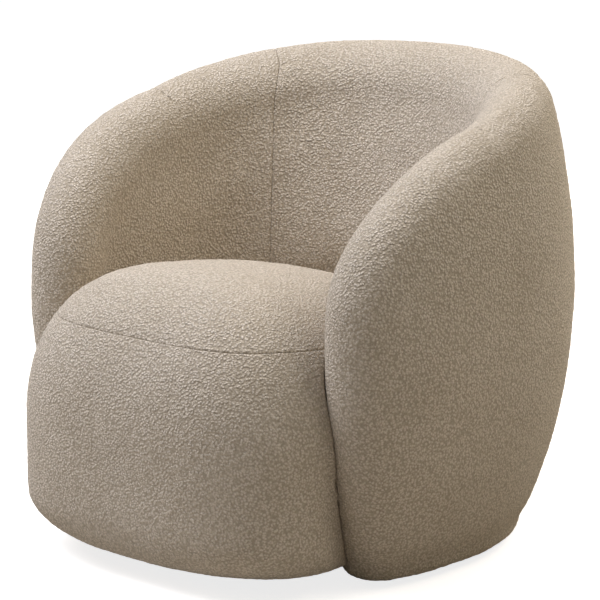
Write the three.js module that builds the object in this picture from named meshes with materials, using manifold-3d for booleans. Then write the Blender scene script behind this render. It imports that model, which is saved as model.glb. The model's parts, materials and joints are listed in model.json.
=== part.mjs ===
// Tub chair: a round tub of back and arms wrapped round a tight seat block, all covered in looped cloth.
// Millimetres, +Z up. The sitter faces -Y, and the origin is on the floor under the middle of the box.
import * as THREE from 'three';
import { mergeVertices } from 'three/addons/utils/BufferGeometryUtils.js';
import Module from 'manifold-3d';

const wasm = await Module();
wasm.setup();

// Tub wall: a thick sheet whose middle surface is a barrel, open at the front
const tubHalfWidth = 362;
const tubBackReach = 345;
const tubFrontReach = 341;
const tubWidestHeight = 377;
const tubRimHeight = 694;
const armTurnHeight = 410;
const backThickness = 106;
const armThickness = 119;
const backPadThickness = 90;
const backPadStartAngle = 75;
const backPadFullAngle = 150;
const backPadFullShare = 0.55;
const backPadRimShare = 0.22;
const tubClearance = 8;
const footRoll = 26;
const footBlend = 80;
const backLeanShare = 0.03;
const lowNarrowShare = 0.24;
const topNarrowShare = 0.18;
const backPower = 2.11;
const armPower = 2.73;
const rimSpreadPower = 2.22;
const rimRisePower = 2.02;
const armFrontAngle = 54.6;
const armFootTurnAngle = 14.3;
const rimFrontShare = 0.3;
const columnLeanPower = 2.6;
const columnLeanShare = 0.75;
const columnBlendPower = 0.7;

// Seat block: a rounded block that leans back a little and fills the tub
const seatHalfWidth = 295;
const seatFrontReach = 220;
const seatRearReach = 515;
const seatSetForward = 212;
const seatWidestHeight = 193;
const seatApexHeight = 467;
const seatLowHeight = 16;
const seatPlanPower = 3.28;
const seatUpperPower = 2.39;
const seatLowerPower = 4.76;
const seatPitchAngle = 7.15;
const seatPitchDistance = 110;
const seatEdgeLiftAngle = -64.6;
const seatSeamLiftAngle = 37;

// Cloth, foam and lining, counted from the outside of the wall to the inside
const coverThickness = 3;
const layerGap = 0.4;
const seamGap = 0.4;
const outerFoamThickness = 10;
const liningThickness = 4;
const curveClearance = 5.4;
const strapClearance = 2;
const ribDepth = 38;
const ribThickness = 18;
const housingOverrun = 4;
const webbingThickness = 2.5;
const webbingWidth = 50;
const wrapThickness = 7.6;
const dustCoverThickness = 1.5;
const dustCoverInset = 1.5;
const seatCrease = 2.8;
const seatNotchEase = 6.5;
const padEdgeGap = 1.6;
const padEase = 0.5;

// Seams on the tub: where the inside back meets the inside arms, and where the rim turns outside
const backSeamAngle = 129.5;
const rimSeamAngle = 52;

// Frame inside the tub
const railThickness = 18;
const railDepth = 20;
const middleRailRise = 10;
const topRailDrop = 94;
const topRailHalfAngle = 68;
const sideRibAngle = 90;
const shoulderRibAngle = 118;
const backRibAngle = 149;
const frontRibAngle = 7;
const frontRibTopDrop = 30;
const ribTopGap = 8;
const topStrapDrop = 118;
const strapPitch = 77;
const strapEndAngles = [72, 72, 80, 92];

// Frame inside the seat
const baseBoardTop = 52;
const seatRailShare = 0.354;
const seatRailHeight = 105;
const seatRailThickness = 22;
const seatPostSide = 48;
const frameWidthShare = 0.7;
const frameFrontShare = 0.68;
const frameRearGap = 18.5;
const rearPostGap = 16;
const clipStripThickness = 1.5;
const clipStripWidth = 14;
const springWire = 3.8;
const springHalfWidth = 20;
const springCount = 5;
const springWaves = 5;
const springEdgeGap = 34;
const insulatorThickness = 4;

// Fasteners and glides
const boltDiameter = 8;
const boltHeadWidth = 13;
const boltHeadHeight = 5.3;
const boltGrip = 30;
const boltHoleGap = 0.4;
const boltDrops = [85, 28];
const glideDiameter = 38;
const glideChamfer = 1.5;
const nailDiameter = 5;
const nailReach = 16;
const frontGlideX = 125;
const frontGlideSetback = 115;
const rearGlideAngle = 148;

// Grid counts: they set how fine the rounded surfaces are, not how large
const backColumns = 5;
const armColumns = 14;
const sideRows = 5;
const rollRows = 2;
const rimOuterRows = 2;
const rimInnerRows = 5;
const seatColumnTurns = [
  0, 14, 27, 38, 48, 57, 65, 71.5, 76, 79, 82, 85, 88, 91, 94, 101, 112, 124, 137, 150, 165, 180,
];
const bandRows = 6;
const topRows = 5;
const railSpanCount = 24;
const strapSpanCount = 20;
const ribSpanCount = 7;
const boltSides = 10;
const boltHeadSides = 6;
const glideSides = 16;

const degrees = THREE.MathUtils.degToRad;
const backAngle = Math.PI;
const armFront = degrees(armFrontAngle);
const tubHeight = tubRimHeight + backThickness / 2;
const wallFoot = tubClearance + footRoll;
const seatCentreY = -seatSetForward;
const underCover = coverThickness + layerGap;
const liningDepth = underCover + outerFoamThickness + layerGap;
const ribOuterDepth = liningDepth + liningThickness + curveClearance;
const ribInnerDepth = ribOuterDepth + ribDepth;
const webbingDepth = ribInnerDepth + strapClearance;
const innerFoamStart = webbingDepth + webbingThickness + strapClearance;
const seatRailTop = seatWidestHeight + seatRailShare * (seatApexHeight - seatWidestHeight);
const middleRailHeight = seatRailTop + middleRailRise;
const topRailHeight = tubRimHeight - topRailDrop;
const boltHeights = boltDrops.map((drop) => seatRailTop - drop);

// Share of the widest plan that the barrel keeps at a height
function barrelShare(z) {
  const low = Math.max(0, (tubWidestHeight - z) / tubWidestHeight);
  const high = Math.max(0, (z - tubWidestHeight) / (tubHeight - tubWidestHeight));
  return 1 - lowNarrowShare * low * low - topNarrowShare * high * high;
}

// Middle of the wall at an angle from the front, round +X to the back, and at a height
function wallMiddle(angle, z) {
  const inFront = Math.cos(angle) > 0;
  const power = 2 / (inFront ? armPower : backPower);
  const reach = inFront ? tubFrontReach : tubBackReach;
  const share = barrelShare(z);
  const x = Math.sign(Math.sin(angle)) * Math.abs(Math.sin(angle)) ** power;
  const y = -Math.sign(Math.cos(angle)) * Math.abs(Math.cos(angle)) ** power;
  const lean = backLeanShare * (z - tubWidestHeight);
  return new THREE.Vector3(share * tubHalfWidth * x, share * reach * y + lean, z);
}

// Outward normal of the wall, turned level towards the foot so that the wall stands square on its rail
function wallNormal(angle, z) {
  const turn = 1e-3;
  const rise = tubHeight * 1e-3;
  const round = wallMiddle(angle + turn, z).sub(wallMiddle(angle - turn, z));
  const up = wallMiddle(angle, z + rise).sub(wallMiddle(angle, z - rise));
  const normal = round.cross(up).normalize();
  normal.z *= THREE.MathUtils.smoothstep(z, wallFoot, wallFoot + footBlend);
  return normal.normalize();
}

// Half of the wall's thickness, which grows from the back to the arm fronts
function halfWall(angle) {
  const share = (backAngle - angle) / (backAngle - armFront);
  return (backThickness + (armThickness - backThickness) * share * share) / 2;
}

// Extra thickness of the padding inside the back, so that the inside leans back. It starts at the top
// of the rim, where down is 0, is fullest behind the seat, where down is 1, and runs out at the foot.
function backPad(angle, down) {
  const round = THREE.MathUtils.smoothstep(angle, degrees(backPadStartAngle), degrees(backPadFullAngle));
  return backPadThickness * round * THREE.MathUtils.smoothstep(down, 0, 1);
}

// How far down the padding a place on the inside is, from the foot, at 0, to the rim, at 1
function padDown(share) {
  if (share < backPadFullShare) return share / backPadFullShare;
  return backPadRimShare + ((1 - backPadRimShare) * (1 - share)) / (1 - backPadFullShare);
}

// A point of the wall at a depth counted from the outside face
function wallPoint(angle, z, depth) {
  const offset = halfWall(angle) - depth;
  return wallMiddle(angle, z).addScaledVector(wallNormal(angle, z), offset);
}

// Angle of the arm's upright front edge at a height below the turn
function frontEdgeAngle(z) {
  const share = (armTurnHeight - Math.min(z, armTurnHeight)) / armTurnHeight;
  return armFront + degrees(armFootTurnAngle) * share * share;
}

// The rim's middle line from the middle of the back, at 0, down to the foot of the arm, at 1
function rimPlace(along) {
  if (along > 1 - rimFrontShare) {
    const fall = (along - (1 - rimFrontShare)) / rimFrontShare;
    const z = armTurnHeight + (wallFoot - armTurnHeight) * fall;
    return { angle: frontEdgeAngle(z), z };
  }
  const climb = ((1 - rimFrontShare - along) / (1 - rimFrontShare)) * Math.PI / 2;
  const spread = 1 - Math.max(0, Math.cos(climb)) ** (2 / rimSpreadPower);
  const rise = Math.sin(climb) ** (2 / rimRisePower);
  return {
    angle: armFront + (backAngle - armFront) * spread,
    z: armTurnHeight + (tubRimHeight - armTurnHeight) * rise,
  };
}

// Height of the rim's middle line above an angle
function rimHeight(angle) {
  let low = 0;
  let high = 1 - rimFrontShare;
  for (let step = 0; step < 40; step += 1) {
    const middle = (low + high) / 2;
    if (rimPlace(middle).angle > angle) low = middle;
    else high = middle;
  }
  return rimPlace((low + high) / 2).z;
}

// Places along the rim at even spacing on each side of the inside seam
function columnPlaces() {
  const fine = 600;
  const lengths = [0];
  let seamLength = 0;
  let last = null;
  for (let step = 0; step <= fine; step += 1) {
    const { angle, z } = rimPlace(step / fine);
    const point = wallMiddle(angle, z);
    if (last) lengths.push(lengths[step - 1] + point.distanceTo(last));
    if (angle > degrees(backSeamAngle)) seamLength = lengths[step];
    last = point;
  }
  const atLength = (length) => {
    const step = Math.min(fine - 1, Math.max(0, lengths.findIndex((value) => value >= length) - 1));
    return (step + (length - lengths[step]) / (lengths[step + 1] - lengths[step])) / fine;
  };
  const places = [];
  for (let step = 0; step < backColumns; step += 1) {
    places.push(atLength(seamLength * step / backColumns));
  }
  const rest = lengths[fine] - seamLength;
  for (let step = 0; step < armColumns; step += 1) {
    places.push(atLength(seamLength + rest * step / armColumns));
  }
  places.push(1);
  return places;
}

// One upright strip of the wall: its foot, its rim point and the directions there
function makeColumn(along) {
  const rim = rimPlace(along);
  const footEnd = frontEdgeAngle(wallFoot);
  const eased = columnLeanShare * (1 - along) ** columnLeanPower + (1 - columnLeanShare) * (1 - along);
  const footAngle = footEnd + (backAngle - footEnd) * eased;
  const at = (share) => ({
    angle: footAngle + (rim.angle - footAngle) * share ** columnBlendPower,
    z: wallFoot + (rim.z - wallFoot) * share,
  });
  const turn = 1e-3;
  const ahead = rimPlace(Math.min(1, along + turn));
  const behind = rimPlace(Math.max(0, along - turn));
  const tangent = wallMiddle(ahead.angle, ahead.z).sub(wallMiddle(behind.angle, behind.z));
  if (along < turn) tangent.set(1, 0, 0);
  const normal = wallNormal(rim.angle, rim.z);
  const outward = tangent.cross(normal).normalize();
  outward.z *= THREE.MathUtils.smoothstep(rim.z, wallFoot, wallFoot + footBlend);
  outward.normalize();
  return { rim, footAngle, at, normal, outward };
}

const halfColumns = columnPlaces().map(makeColumn);
const lastColumn = halfColumns.length - 1;
const rowCount = 2 * (rollRows + sideRows) + rimOuterRows + rimInnerRows;
const seamRow = rollRows + sideRows + rimOuterRows;

// Reach and height of the tucked foot at one of its rows, counted from the underside
function footRollAt(row, half, depth) {
  const turn = (row / rollRows) * Math.PI / 2;
  return {
    reach: half - footRoll + (footRoll - depth) * Math.sin(turn),
    z: wallFoot - (footRoll - depth) * Math.cos(turn),
  };
}

// Angle round the rim roll of a row, from the outside over the top to the inside
function rimTurn(row) {
  const seam = degrees(rimSeamAngle);
  if (row <= rimOuterRows) return (row / rimOuterRows) * seam;
  return seam + ((row - rimOuterRows) / rimInnerRows) * (Math.PI - seam);
}

function columnPoint(column, row, depth) {
  const half = halfWall(column.rim.angle);
  const inner = row > rowCount / 2;
  const count = inner ? rowCount - row : row;
  const side = inner ? -1 : 1;
  if (count <= rollRows) {
    const { reach, z } = footRollAt(count, halfWall(column.footAngle), depth);
    const normal = wallNormal(column.footAngle, wallFoot);
    const point = wallMiddle(column.footAngle, wallFoot).addScaledVector(normal, side * reach);
    return point.setZ(z);
  }
  if (count <= rollRows + sideRows) {
    const share = (count - rollRows) / sideRows;
    const { angle, z } = column.at(share);
    const pad = inner ? backPad(angle, padDown(share)) : 0;
    const offset = side * (halfWall(angle) + pad - depth);
    return wallMiddle(angle, z).addScaledVector(wallNormal(angle, z), offset);
  }
  const turn = rimTurn(row - rollRows - sideRows);
  const past = Math.max(0, turn - Math.PI / 2) / (Math.PI / 2);
  const pad = backPad(column.rim.angle, backPadRimShare * past);
  return wallMiddle(column.rim.angle, column.rim.z)
    .addScaledVector(column.normal, (half - depth) * Math.cos(turn) - pad)
    .addScaledVector(column.outward, (half - depth) * Math.sin(turn));
}

// The rounded foot of the arm's end: rings that shrink under the last column
function footPoint(ring, row, depth) {
  const column = halfColumns[lastColumn];
  const count = Math.min(row, rowCount - row);
  if (count < rollRows - ring) return columnPoint(column, row, depth);
  const { reach, z } = footRollAt(rollRows - ring, halfWall(column.rim.angle), depth);
  const rimRow = Math.min(Math.max(row - rollRows - sideRows, 0), rimOuterRows + rimInnerRows);
  const turn = rimTurn(rimRow);
  return wallMiddle(column.rim.angle, wallFoot)
    .addScaledVector(column.normal, reach * Math.cos(turn))
    .addScaledVector(column.outward, reach * Math.sin(turn))
    .setZ(z);
}

// A point of the cloth's grid: columns run from one arm foot to the other, rows from outside to inside
function tubPoint(column, row, depth) {
  const count = Math.abs(column);
  const point = count <= lastColumn
    ? columnPoint(halfColumns[count], row, depth)
    : footPoint(count - lastColumn, row, depth);
  if (column < 0) point.x *= -1;
  return point;
}

// Turns a list of triangles with repeated corners into one indexed closed surface
function weld(positions) {
  const loose = new THREE.BufferGeometry();
  loose.setAttribute('position', new THREE.Float32BufferAttribute(positions, 3));
  const merged = mergeVertices(loose, 1e-3);
  const index = merged.getIndex().array;
  const kept = [];
  for (let corner = 0; corner < index.length; corner += 3) {
    const [a, b, c] = [index[corner], index[corner + 1], index[corner + 2]];
    if (a !== b && b !== c && c !== a) kept.push(a, b, c);
  }
  merged.setIndex(kept);
  return merged;
}

function pushTriangle(positions, a, b, c) {
  positions.push(a.x, a.y, a.z, b.x, b.y, b.z, c.x, c.y, c.z);
}

// A quad split along its a-c line, or along its b-d line when turned
function pushQuad(positions, a, b, c, d, turned = false) {
  if (turned) {
    pushTriangle(positions, b, c, d);
    pushTriangle(positions, b, d, a);
  } else {
    pushTriangle(positions, a, b, c);
    pushTriangle(positions, a, c, d);
  }
}

// Closes two matching grids of points, an outer and an inner one, into a shell. Columns before
// turnedSpans split their quads the other way, so that a shell across the middle is a mirror image.
function shellBetween(outer, inner, turnedSpans = 0, wraps = false) {
  const positions = [];
  const columns = outer.length;
  const rows = outer[0].length;
  const spans = wraps ? columns : columns - 1;
  for (let c = 0; c < spans; c += 1) {
    const n = (c + 1) % columns;
    const turned = c < turnedSpans;
    for (let r = 0; r < rows - 1; r += 1) {
      pushQuad(positions, outer[c][r], outer[c][r + 1], outer[n][r + 1], outer[n][r], turned);
      pushQuad(positions, inner[c][r], inner[n][r], inner[n][r + 1], inner[c][r + 1], turned);
    }
    const top = rows - 1;
    pushQuad(positions, outer[c][0], outer[n][0], inner[n][0], inner[c][0], turned);
    pushQuad(positions, outer[c][top], inner[c][top], inner[n][top], outer[n][top], turned);
  }
  if (!wraps) {
    const end = columns - 1;
    for (let r = 0; r < rows - 1; r += 1) {
      pushQuad(positions, outer[0][r], inner[0][r], inner[0][r + 1], outer[0][r + 1]);
      pushQuad(positions, outer[end][r], outer[end][r + 1], inner[end][r + 1], inner[end][r]);
    }
  }
  return weld(positions);
}

function pullBack(edge, next, distance) {
  const length = edge.distanceTo(next);
  if (length > distance) edge.lerp(next, distance / length);
}

// One panel of cloth between two columns and two rows, drawn back a little at each seam
function clothPanel(firstColumn, endColumn, firstRow, endRow, seams) {
  const grid = (depth) => {
    const points = [];
    for (let column = firstColumn; column <= endColumn; column += 1) {
      const strip = [];
      for (let row = firstRow; row <= endRow; row += 1) strip.push(tubPoint(column, row, depth));
      if (seams.start) pullBack(strip[0], strip[1], seamGap / 2);
      if (seams.end) pullBack(strip.at(-1), strip.at(-2), seamGap / 2);
      points.push(strip);
    }
    for (let row = 0; row < points[0].length; row += 1) {
      if (seams.left) pullBack(points[0][row], points[1][row], seamGap / 2);
      if (seams.right) pullBack(points.at(-1)[row], points.at(-2)[row], seamGap / 2);
    }
    return points;
  };
  return shellBetween(grid(0), grid(coverThickness), Math.max(0, -firstColumn));
}

// A pad that lies along one side of the wall, between the foot and the rim
function sidePad(firstColumn, endColumn, side, nearDepth, farDepth) {
  const grid = (depthOf) => {
    const points = [];
    for (let index = firstColumn; index <= endColumn; index += 1) {
      const column = halfColumns[Math.abs(index)];
      const strip = [];
      for (let row = 0; row <= sideRows; row += 1) {
        const share = row / sideRows;
        const { angle, z } = column.at(share);
        const half = halfWall(angle);
        const reach = side < 0 ? half + backPad(angle, padDown(share)) : half;
        const offset = side * (reach - depthOf(half + reach));
        const point = wallMiddle(angle, z).addScaledVector(wallNormal(angle, z), offset);
        if (index < 0) point.x *= -1;
        strip.push(point);
      }
      pullBack(strip[0], strip[1], layerGap);
      pullBack(strip.at(-1), strip.at(-2), padEdgeGap);
      if (side < 0) strip.reverse();
      points.push(strip);
    }
    for (let row = 0; row <= sideRows; row += 1) {
      pullBack(points[0][row], points[1][row], layerGap / 2);
      pullBack(points.at(-1)[row], points.at(-2)[row], layerGap / 2);
    }
    return points;
  };
  return shellBetween(grid(nearDepth), grid(farDepth), Math.max(0, -firstColumn));
}

// A slab that follows the wall: place(u, v) gives its angle and height, both from 0 to 1
function wallSlab(across, upward, place, nearDepth, farDepth) {
  const grid = (depth) => {
    const points = [];
    for (let u = 0; u <= across; u += 1) {
      const strip = [];
      for (let v = 0; v <= upward; v += 1) {
        const { angle, z } = place(u / across, v / upward);
        const turned = angle > backAngle ? 2 * backAngle - angle : angle;
        const point = wallPoint(turned, z, depth);
        if (angle > backAngle) point.x *= -1;
        strip.push(point);
      }
      points.push(strip);
    }
    return points;
  };
  return shellBetween(grid(farDepth), grid(nearDepth));
}

// Solids for cutting and joining
function solidOf(geometry) {
  const plain = geometry.clone();
  plain.deleteAttribute('normal');
  plain.deleteAttribute('uv');
  const merged = mergeVertices(plain, 1e-4);
  return new wasm.Manifold(new wasm.Mesh({
    numProp: 3,
    vertProperties: new Float32Array(merged.getAttribute('position').array),
    triVerts: new Uint32Array(merged.getIndex().array),
  }));
}

function geometryOf(solid) {
  const mesh = solid.getMesh();
  const geometry = new THREE.BufferGeometry();
  geometry.setAttribute('position', new THREE.BufferAttribute(new Float32Array(mesh.vertProperties), 3));
  geometry.setIndex(new THREE.BufferAttribute(new Uint32Array(mesh.triVerts), 1));
  return geometry;
}

function cutBy(geometry, cutters) {
  let solid = solidOf(geometry);
  for (const cutter of cutters) solid = solid.subtract(solidOf(cutter));
  return geometryOf(solid);
}

// Keeps only what lies between two heights
function keepBetween(solid, low, high) {
  const reach = 4 * (tubHalfWidth + seatHalfWidth);
  const slice = new THREE.BoxGeometry(reach, reach, high - low).translate(0, 0, (low + high) / 2);
  return solid.intersect(solidOf(slice));
}

// The whole wall below its cloth as one solid, used to shape the base rail
function wallSolid(depth) {
  const positions = [];
  const end = lastColumn + rollRows;
  const point = (column, row) => tubPoint(column, row, depth);
  for (let column = -end; column < end; column += 1) {
    for (let row = 0; row < rowCount; row += 1) {
      const here = [point(column, row), point(column, row + 1)];
      const next = [point(column + 1, row + 1), point(column + 1, row)];
      pushQuad(positions, ...here, ...next, column < 0);
    }
    if (column >= -lastColumn && column < lastColumn) {
      const outerEdge = [point(column, 0), point(column + 1, 0)];
      pushQuad(positions, ...outerEdge, point(column + 1, rowCount), point(column, rowCount));
    }
  }
  for (const side of [-1, 1]) {
    const hub = point(side * end, 0);
    for (let row = rollRows + sideRows; row < rowCount - rollRows - sideRows; row += 1) {
      const ring = [point(side * end, row), point(side * end, row + 1)];
      if (side > 0) pushTriangle(positions, hub, ring[0], ring[1]);
      else pushTriangle(positions, hub, ring[1], ring[0]);
    }
  }
  return solidOf(weld(positions));
}

// The inside face of the wall, one upright run of points for each column
const innerStrips = halfColumns.map((column) => (
  Array.from({ length: sideRows + 1 }, (_, step) => columnPoint(column, rowCount - rollRows - step, 0))
));

// The inside face at a height, from the middle of the back to the round end of the arm
function innerLineAt(height) {
  const z = Math.max(height, wallFoot);
  const points = [];
  for (const strip of innerStrips) {
    const upper = strip.findIndex((point) => point.z > z);
    if (upper < 0) break;
    const [low, high] = [strip[Math.max(upper - 1, 0)], strip[Math.max(upper, 1)]];
    const share = Math.max(0, (z - low.z) / (high.z - low.z));
    points.push(new THREE.Vector2(low.x, low.y).lerp(new THREE.Vector2(high.x, high.y), share));
  }
  const edge = frontEdgeAngle(z);
  const middle = wallMiddle(edge, z);
  const normal = wallNormal(edge, z);
  const hub = new THREE.Vector2(middle.x, middle.y);
  const radius = halfWall(edge) / Math.hypot(normal.x, normal.y);
  points.push(hub.clone().sub(new THREE.Vector2(normal.x, normal.y).setLength(radius)));
  return { points, hub, radius };
}

// Distance from the seat's centre, along a direction, that keeps a margin to the wall
function clearReach(direction, wanted, z, margin) {
  const { points, hub, radius } = innerLineAt(z);
  const start = new THREE.Vector2(0, seatCentreY);
  let reach = wanted;
  for (let step = 0; step < points.length - 1; step += 1) {
    const along = points[step + 1].clone().sub(points[step]);
    const inward = new THREE.Vector2(along.y, -along.x).normalize();
    const facing = direction.dot(inward);
    const away = start.clone().sub(points[step]);
    if (facing < 0) {
      const distance = (margin - away.dot(inward)) / facing;
      const place = away.addScaledVector(direction, distance).dot(along) / along.lengthSq();
      if (place > -0.1 && place < 1.1) reach = Math.min(reach, distance);
    }
  }
  const fromHub = start.sub(hub);
  const ahead = fromHub.dot(direction);
  const inside = ahead * ahead - fromHub.lengthSq() + (radius + margin + seatNotchEase) ** 2;
  if (inside > 0) reach = Math.min(reach, -ahead - Math.sqrt(inside));
  return reach;
}

// A point of the seat block: turn goes round from the front, lift runs from -90 below to 90 on top
function seatPoint(turn, lift, depth) {
  const up = lift > 0;
  const power = 2 / (up ? seatUpperPower : seatLowerPower);
  const level = Math.max(0, Math.cos(degrees(lift))) ** power;
  const rise = Math.abs(Math.sin(degrees(lift))) ** power;
  const span = up ? seatApexHeight - depth - seatWidestHeight : seatWidestHeight - seatLowHeight - depth;
  const z = seatWidestHeight + (up ? 1 : -1) * span * rise;
  const direction = new THREE.Vector2(Math.abs(Math.sin(turn)), -Math.cos(turn));
  const reachY = (direction.y < 0 ? seatFrontReach : seatRearReach) - depth;
  const across = (direction.x / (seatHalfWidth - depth)) ** seatPlanPower;
  const lengthwise = (Math.abs(direction.y) / reachY) ** seatPlanPower;
  const wanted = level * (across + lengthwise) ** (-1 / seatPlanPower);
  const reach = clearReach(direction, wanted, tilted(direction.y * wanted, z), seatCrease + depth);
  const x = Math.sin(turn) * reach;
  const fromCentre = direction.y * reach;
  return new THREE.Vector3(x, seatCentreY + fromCentre, tilted(fromCentre, z));
}

// The seat top drops towards the back
function tilted(fromCentre, z) {
  const share = THREE.MathUtils.clamp((z - seatWidestHeight) / (seatApexHeight - seatWidestHeight), 0, 1);
  return z - Math.tan(degrees(seatPitchAngle)) * Math.max(0, fromCentre + seatPitchDistance) * share;
}

function spread(first, last, count) {
  return Array.from({ length: count + 1 }, (_, step) => first + (last - first) * step / count);
}

const bandLifts = spread(seatEdgeLiftAngle, seatSeamLiftAngle, bandRows);
const topLifts = spread(seatSeamLiftAngle, 90, topRows);

// Columns go round from the front by way of -X, the same way round as the tub's
const seatTurns = [
  ...seatColumnTurns.map((turn) => -turn),
  ...seatColumnTurns.slice(1, -1).reverse(),
].map(degrees);
const seatSides = seatTurns.length;

function seatGrid(lifts, depth) {
  return seatTurns.map((turn) => lifts.map((lift) => seatPoint(turn, lift, depth)));
}

function seatCloth(lifts, seamAt) {
  const grid = (depth) => {
    const points = seatGrid(lifts, depth);
    for (const strip of points) {
      if (seamAt === 'start') pullBack(strip[0], strip[1], seamGap / 2);
      else pullBack(strip.at(-1), strip.at(-2), seamGap / 2);
    }
    return points;
  };
  return shellBetween(grid(0), grid(coverThickness), seatSides / 2, true);
}

function seatSolid(depth) {
  const lifts = [...bandLifts, ...topLifts.slice(1)];
  const grid = seatGrid(lifts, depth);
  const positions = [];
  const centre = new THREE.Vector3(0, seatCentreY, grid[0][0].z);
  for (let side = 0; side < seatSides; side += 1) {
    const [here, next] = [grid[side], grid[(side + 1) % seatSides]];
    pushTriangle(positions, centre, here[0], next[0]);
    for (let row = 0; row < lifts.length - 1; row += 1) {
      const corners = [here[row], here[row + 1], next[row + 1], next[row]];
      pushQuad(positions, ...corners, side < seatSides / 2);
    }
  }
  return solidOf(weld(positions));
}

// Sizes of the seat frame, which follows both the seat block and the tub round it
const frameHalfWidth = Math.min(
  frameWidthShare * seatHalfWidth,
  frameWidthShare * (tubHalfWidth - armThickness / 2) * (1 - lowNarrowShare / 8),
);
const frameFrontY = seatCentreY - frameFrontShare * seatFrontReach;
const springLevel = seatRailTop + layerGap + clipStripThickness + layerGap + springWire / 2;
const insulatorLow = springLevel + springWire / 2 + layerGap;
const platform = insulatorLow + insulatorThickness + layerGap;
const railLow = seatRailTop - seatRailHeight;
const frameRearY = Math.min(
  seatRearAt(frameHalfWidth, platform, underCover),
  seatRearAt(frameHalfWidth, railLow, underCover),
) - frameRearGap;
const postRearY = Math.min(frameRearY, seatRearAt(frameHalfWidth, baseBoardTop, underCover) - rearPostGap);
const frameLength = frameRearY - frameFrontY;
const frameMiddleY = (frameFrontY + frameRearY) / 2;

// Halves a range until the test turns from true to false
function bisect(low, high, test) {
  const middle = (low + high) / 2;
  if (high - low < 1e-5) return middle;
  return test(middle) ? bisect(middle, high, test) : bisect(low, middle, test);
}

// How far back the seat block reaches at a distance to the side and a height
function seatRearAt(x, z, depth) {
  const pointAt = (lift) => {
    const turn = bisect(Math.PI / 2, Math.PI, (value) => seatPoint(value, lift, depth).x > x);
    return seatPoint(turn, lift, depth);
  };
  return pointAt(bisect(seatEdgeLiftAngle, seatSeamLiftAngle, (lift) => pointAt(lift).z < z)).y;
}

function box(width, length, height, x, y, low) {
  return new THREE.BoxGeometry(width, length, height).translate(x, y, low + height / 2);
}

function rod(radius, length, sides) {
  return new THREE.CylinderGeometry(radius, radius, length, sides).rotateZ(-Math.PI / 2);
}

// A tube of few sides along a run of points
function tubeAlong(points, radius, sides, steps) {
  const section = new THREE.Shape(
    Array.from({ length: sides }, (_, side) => {
      const turn = 2 * Math.PI * side / sides;
      return new THREE.Vector2(radius * Math.cos(turn), radius * Math.sin(turn));
    }),
  );
  const path = new THREE.CatmullRomCurve3(points);
  return new THREE.ExtrudeGeometry(section, { steps, extrudePath: path, bevelEnabled: false });
}

// Bolts that join the seat frame to the tub's side ribs, and the clear bores round them
const boltTipX = (z) => wallPoint(degrees(sideRibAngle), z, ribInnerDepth).x + boltGrip;
const boltHeadX = frameHalfWidth - seatRailThickness - layerGap;
const boltHeadRadius = boltHeadWidth / 2 / Math.cos(Math.PI / boltHeadSides);

function boltY(z) {
  return wallMiddle(degrees(sideRibAngle), z).y;
}

function frameBolt(side, z) {
  const length = boltTipX(z) - boltHeadX;
  const shank = rod(boltDiameter / 2, length, boltSides).translate(boltHeadX + length / 2, 0, 0);
  const headLength = boltHeadHeight + boltHoleGap;
  const head = rod(boltHeadRadius, headLength, boltHeadSides).translate(boltHeadX - headLength / 2, 0, 0);
  const overlap = rod(boltDiameter / 4, headLength, boltSides).translate(boltHeadX, 0, 0);
  const bolt = solidOf(shank).add(solidOf(overlap)).add(solidOf(head));
  const geometry = geometryOf(bolt);
  if (side < 0) geometry.rotateZ(Math.PI);
  return geometry.translate(0, boltY(z), z);
}

function boltBores(side) {
  return boltHeights.map((z) => {
    const length = boltTipX(z) + boltHoleGap - boltHeadX + boltHoleGap;
    const middle = boltHeadX - boltHoleGap + length / 2;
    return rod(boltDiameter / 2 + boltHoleGap, length, boltSides).translate(side * middle, boltY(z), z);
  });
}

// Glides: a nylon disc with a nail up its middle
const frontGlideY = seatCentreY - frontGlideSetback + seatFrontReach / 2;
const railUnderside = tubClearance + underCover;
const boardUnderside = seatPoint(0, seatEdgeLiftAngle, underCover).z;

function rearGlidePlace() {
  return wallMiddle(degrees(rearGlideAngle), wallFoot);
}

function glide(x, y, seat) {
  const top = seat - layerGap - dustCoverThickness - layerGap;
  const outer = glideDiameter / 2;
  const profile = [
    new THREE.Vector2(0, 0),
    new THREE.Vector2(outer - glideChamfer, 0),
    new THREE.Vector2(outer, glideChamfer),
    new THREE.Vector2(outer, top),
    new THREE.Vector2(nailDiameter / 2, top),
    new THREE.Vector2(nailDiameter / 2, seat + nailReach),
    new THREE.Vector2(0, seat + nailReach + nailDiameter / 2),
  ];
  return new THREE.LatheGeometry(profile, glideSides).rotateX(Math.PI / 2).translate(x, y, 0);
}

function nailBore(x, y, seat) {
  const height = nailReach + nailDiameter / 2 + dustCoverThickness + 4 * layerGap;
  const radius = nailDiameter / 2 + layerGap;
  return new THREE.CylinderGeometry(radius, radius, height, glideSides / 2)
    .rotateX(Math.PI / 2)
    .translate(x, y, seat - dustCoverThickness - 3 * layerGap + height / 2);
}

const rearGlides = [-1, 1].map((side) => [side * rearGlidePlace().x, rearGlidePlace().y]);
const frontGlides = [-1, 1].map((side) => [side * frontGlideX, frontGlideY]);
const rearBores = rearGlides.map(([x, y]) => nailBore(x, y, railUnderside));
const frontBores = frontGlides.map(([x, y]) => nailBore(x, y, boardUnderside));

// Tub frame pieces
function baseRail() {
  const solid = keepBetween(wallSolid(underCover), 0, wallFoot - layerGap);
  return cutBy(geometryOf(solid), rearBores);
}

// A rail that runs round the tub; with a gap and an overrun it is the cutter for its housings
function levelRail(z, startAngle, gap = 0, overrun = 0) {
  const start = startAngle - 2 * gap / tubHalfWidth;
  const place = (u, v) => ({
    angle: start + (2 * backAngle - 2 * start) * u,
    z: z + (v - 0.5) * (railThickness + 2 * gap),
  });
  const far = ribOuterDepth + railDepth + gap;
  return wallSlab(railSpanCount, 1, place, ribOuterDepth - gap - overrun, far);
}

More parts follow.
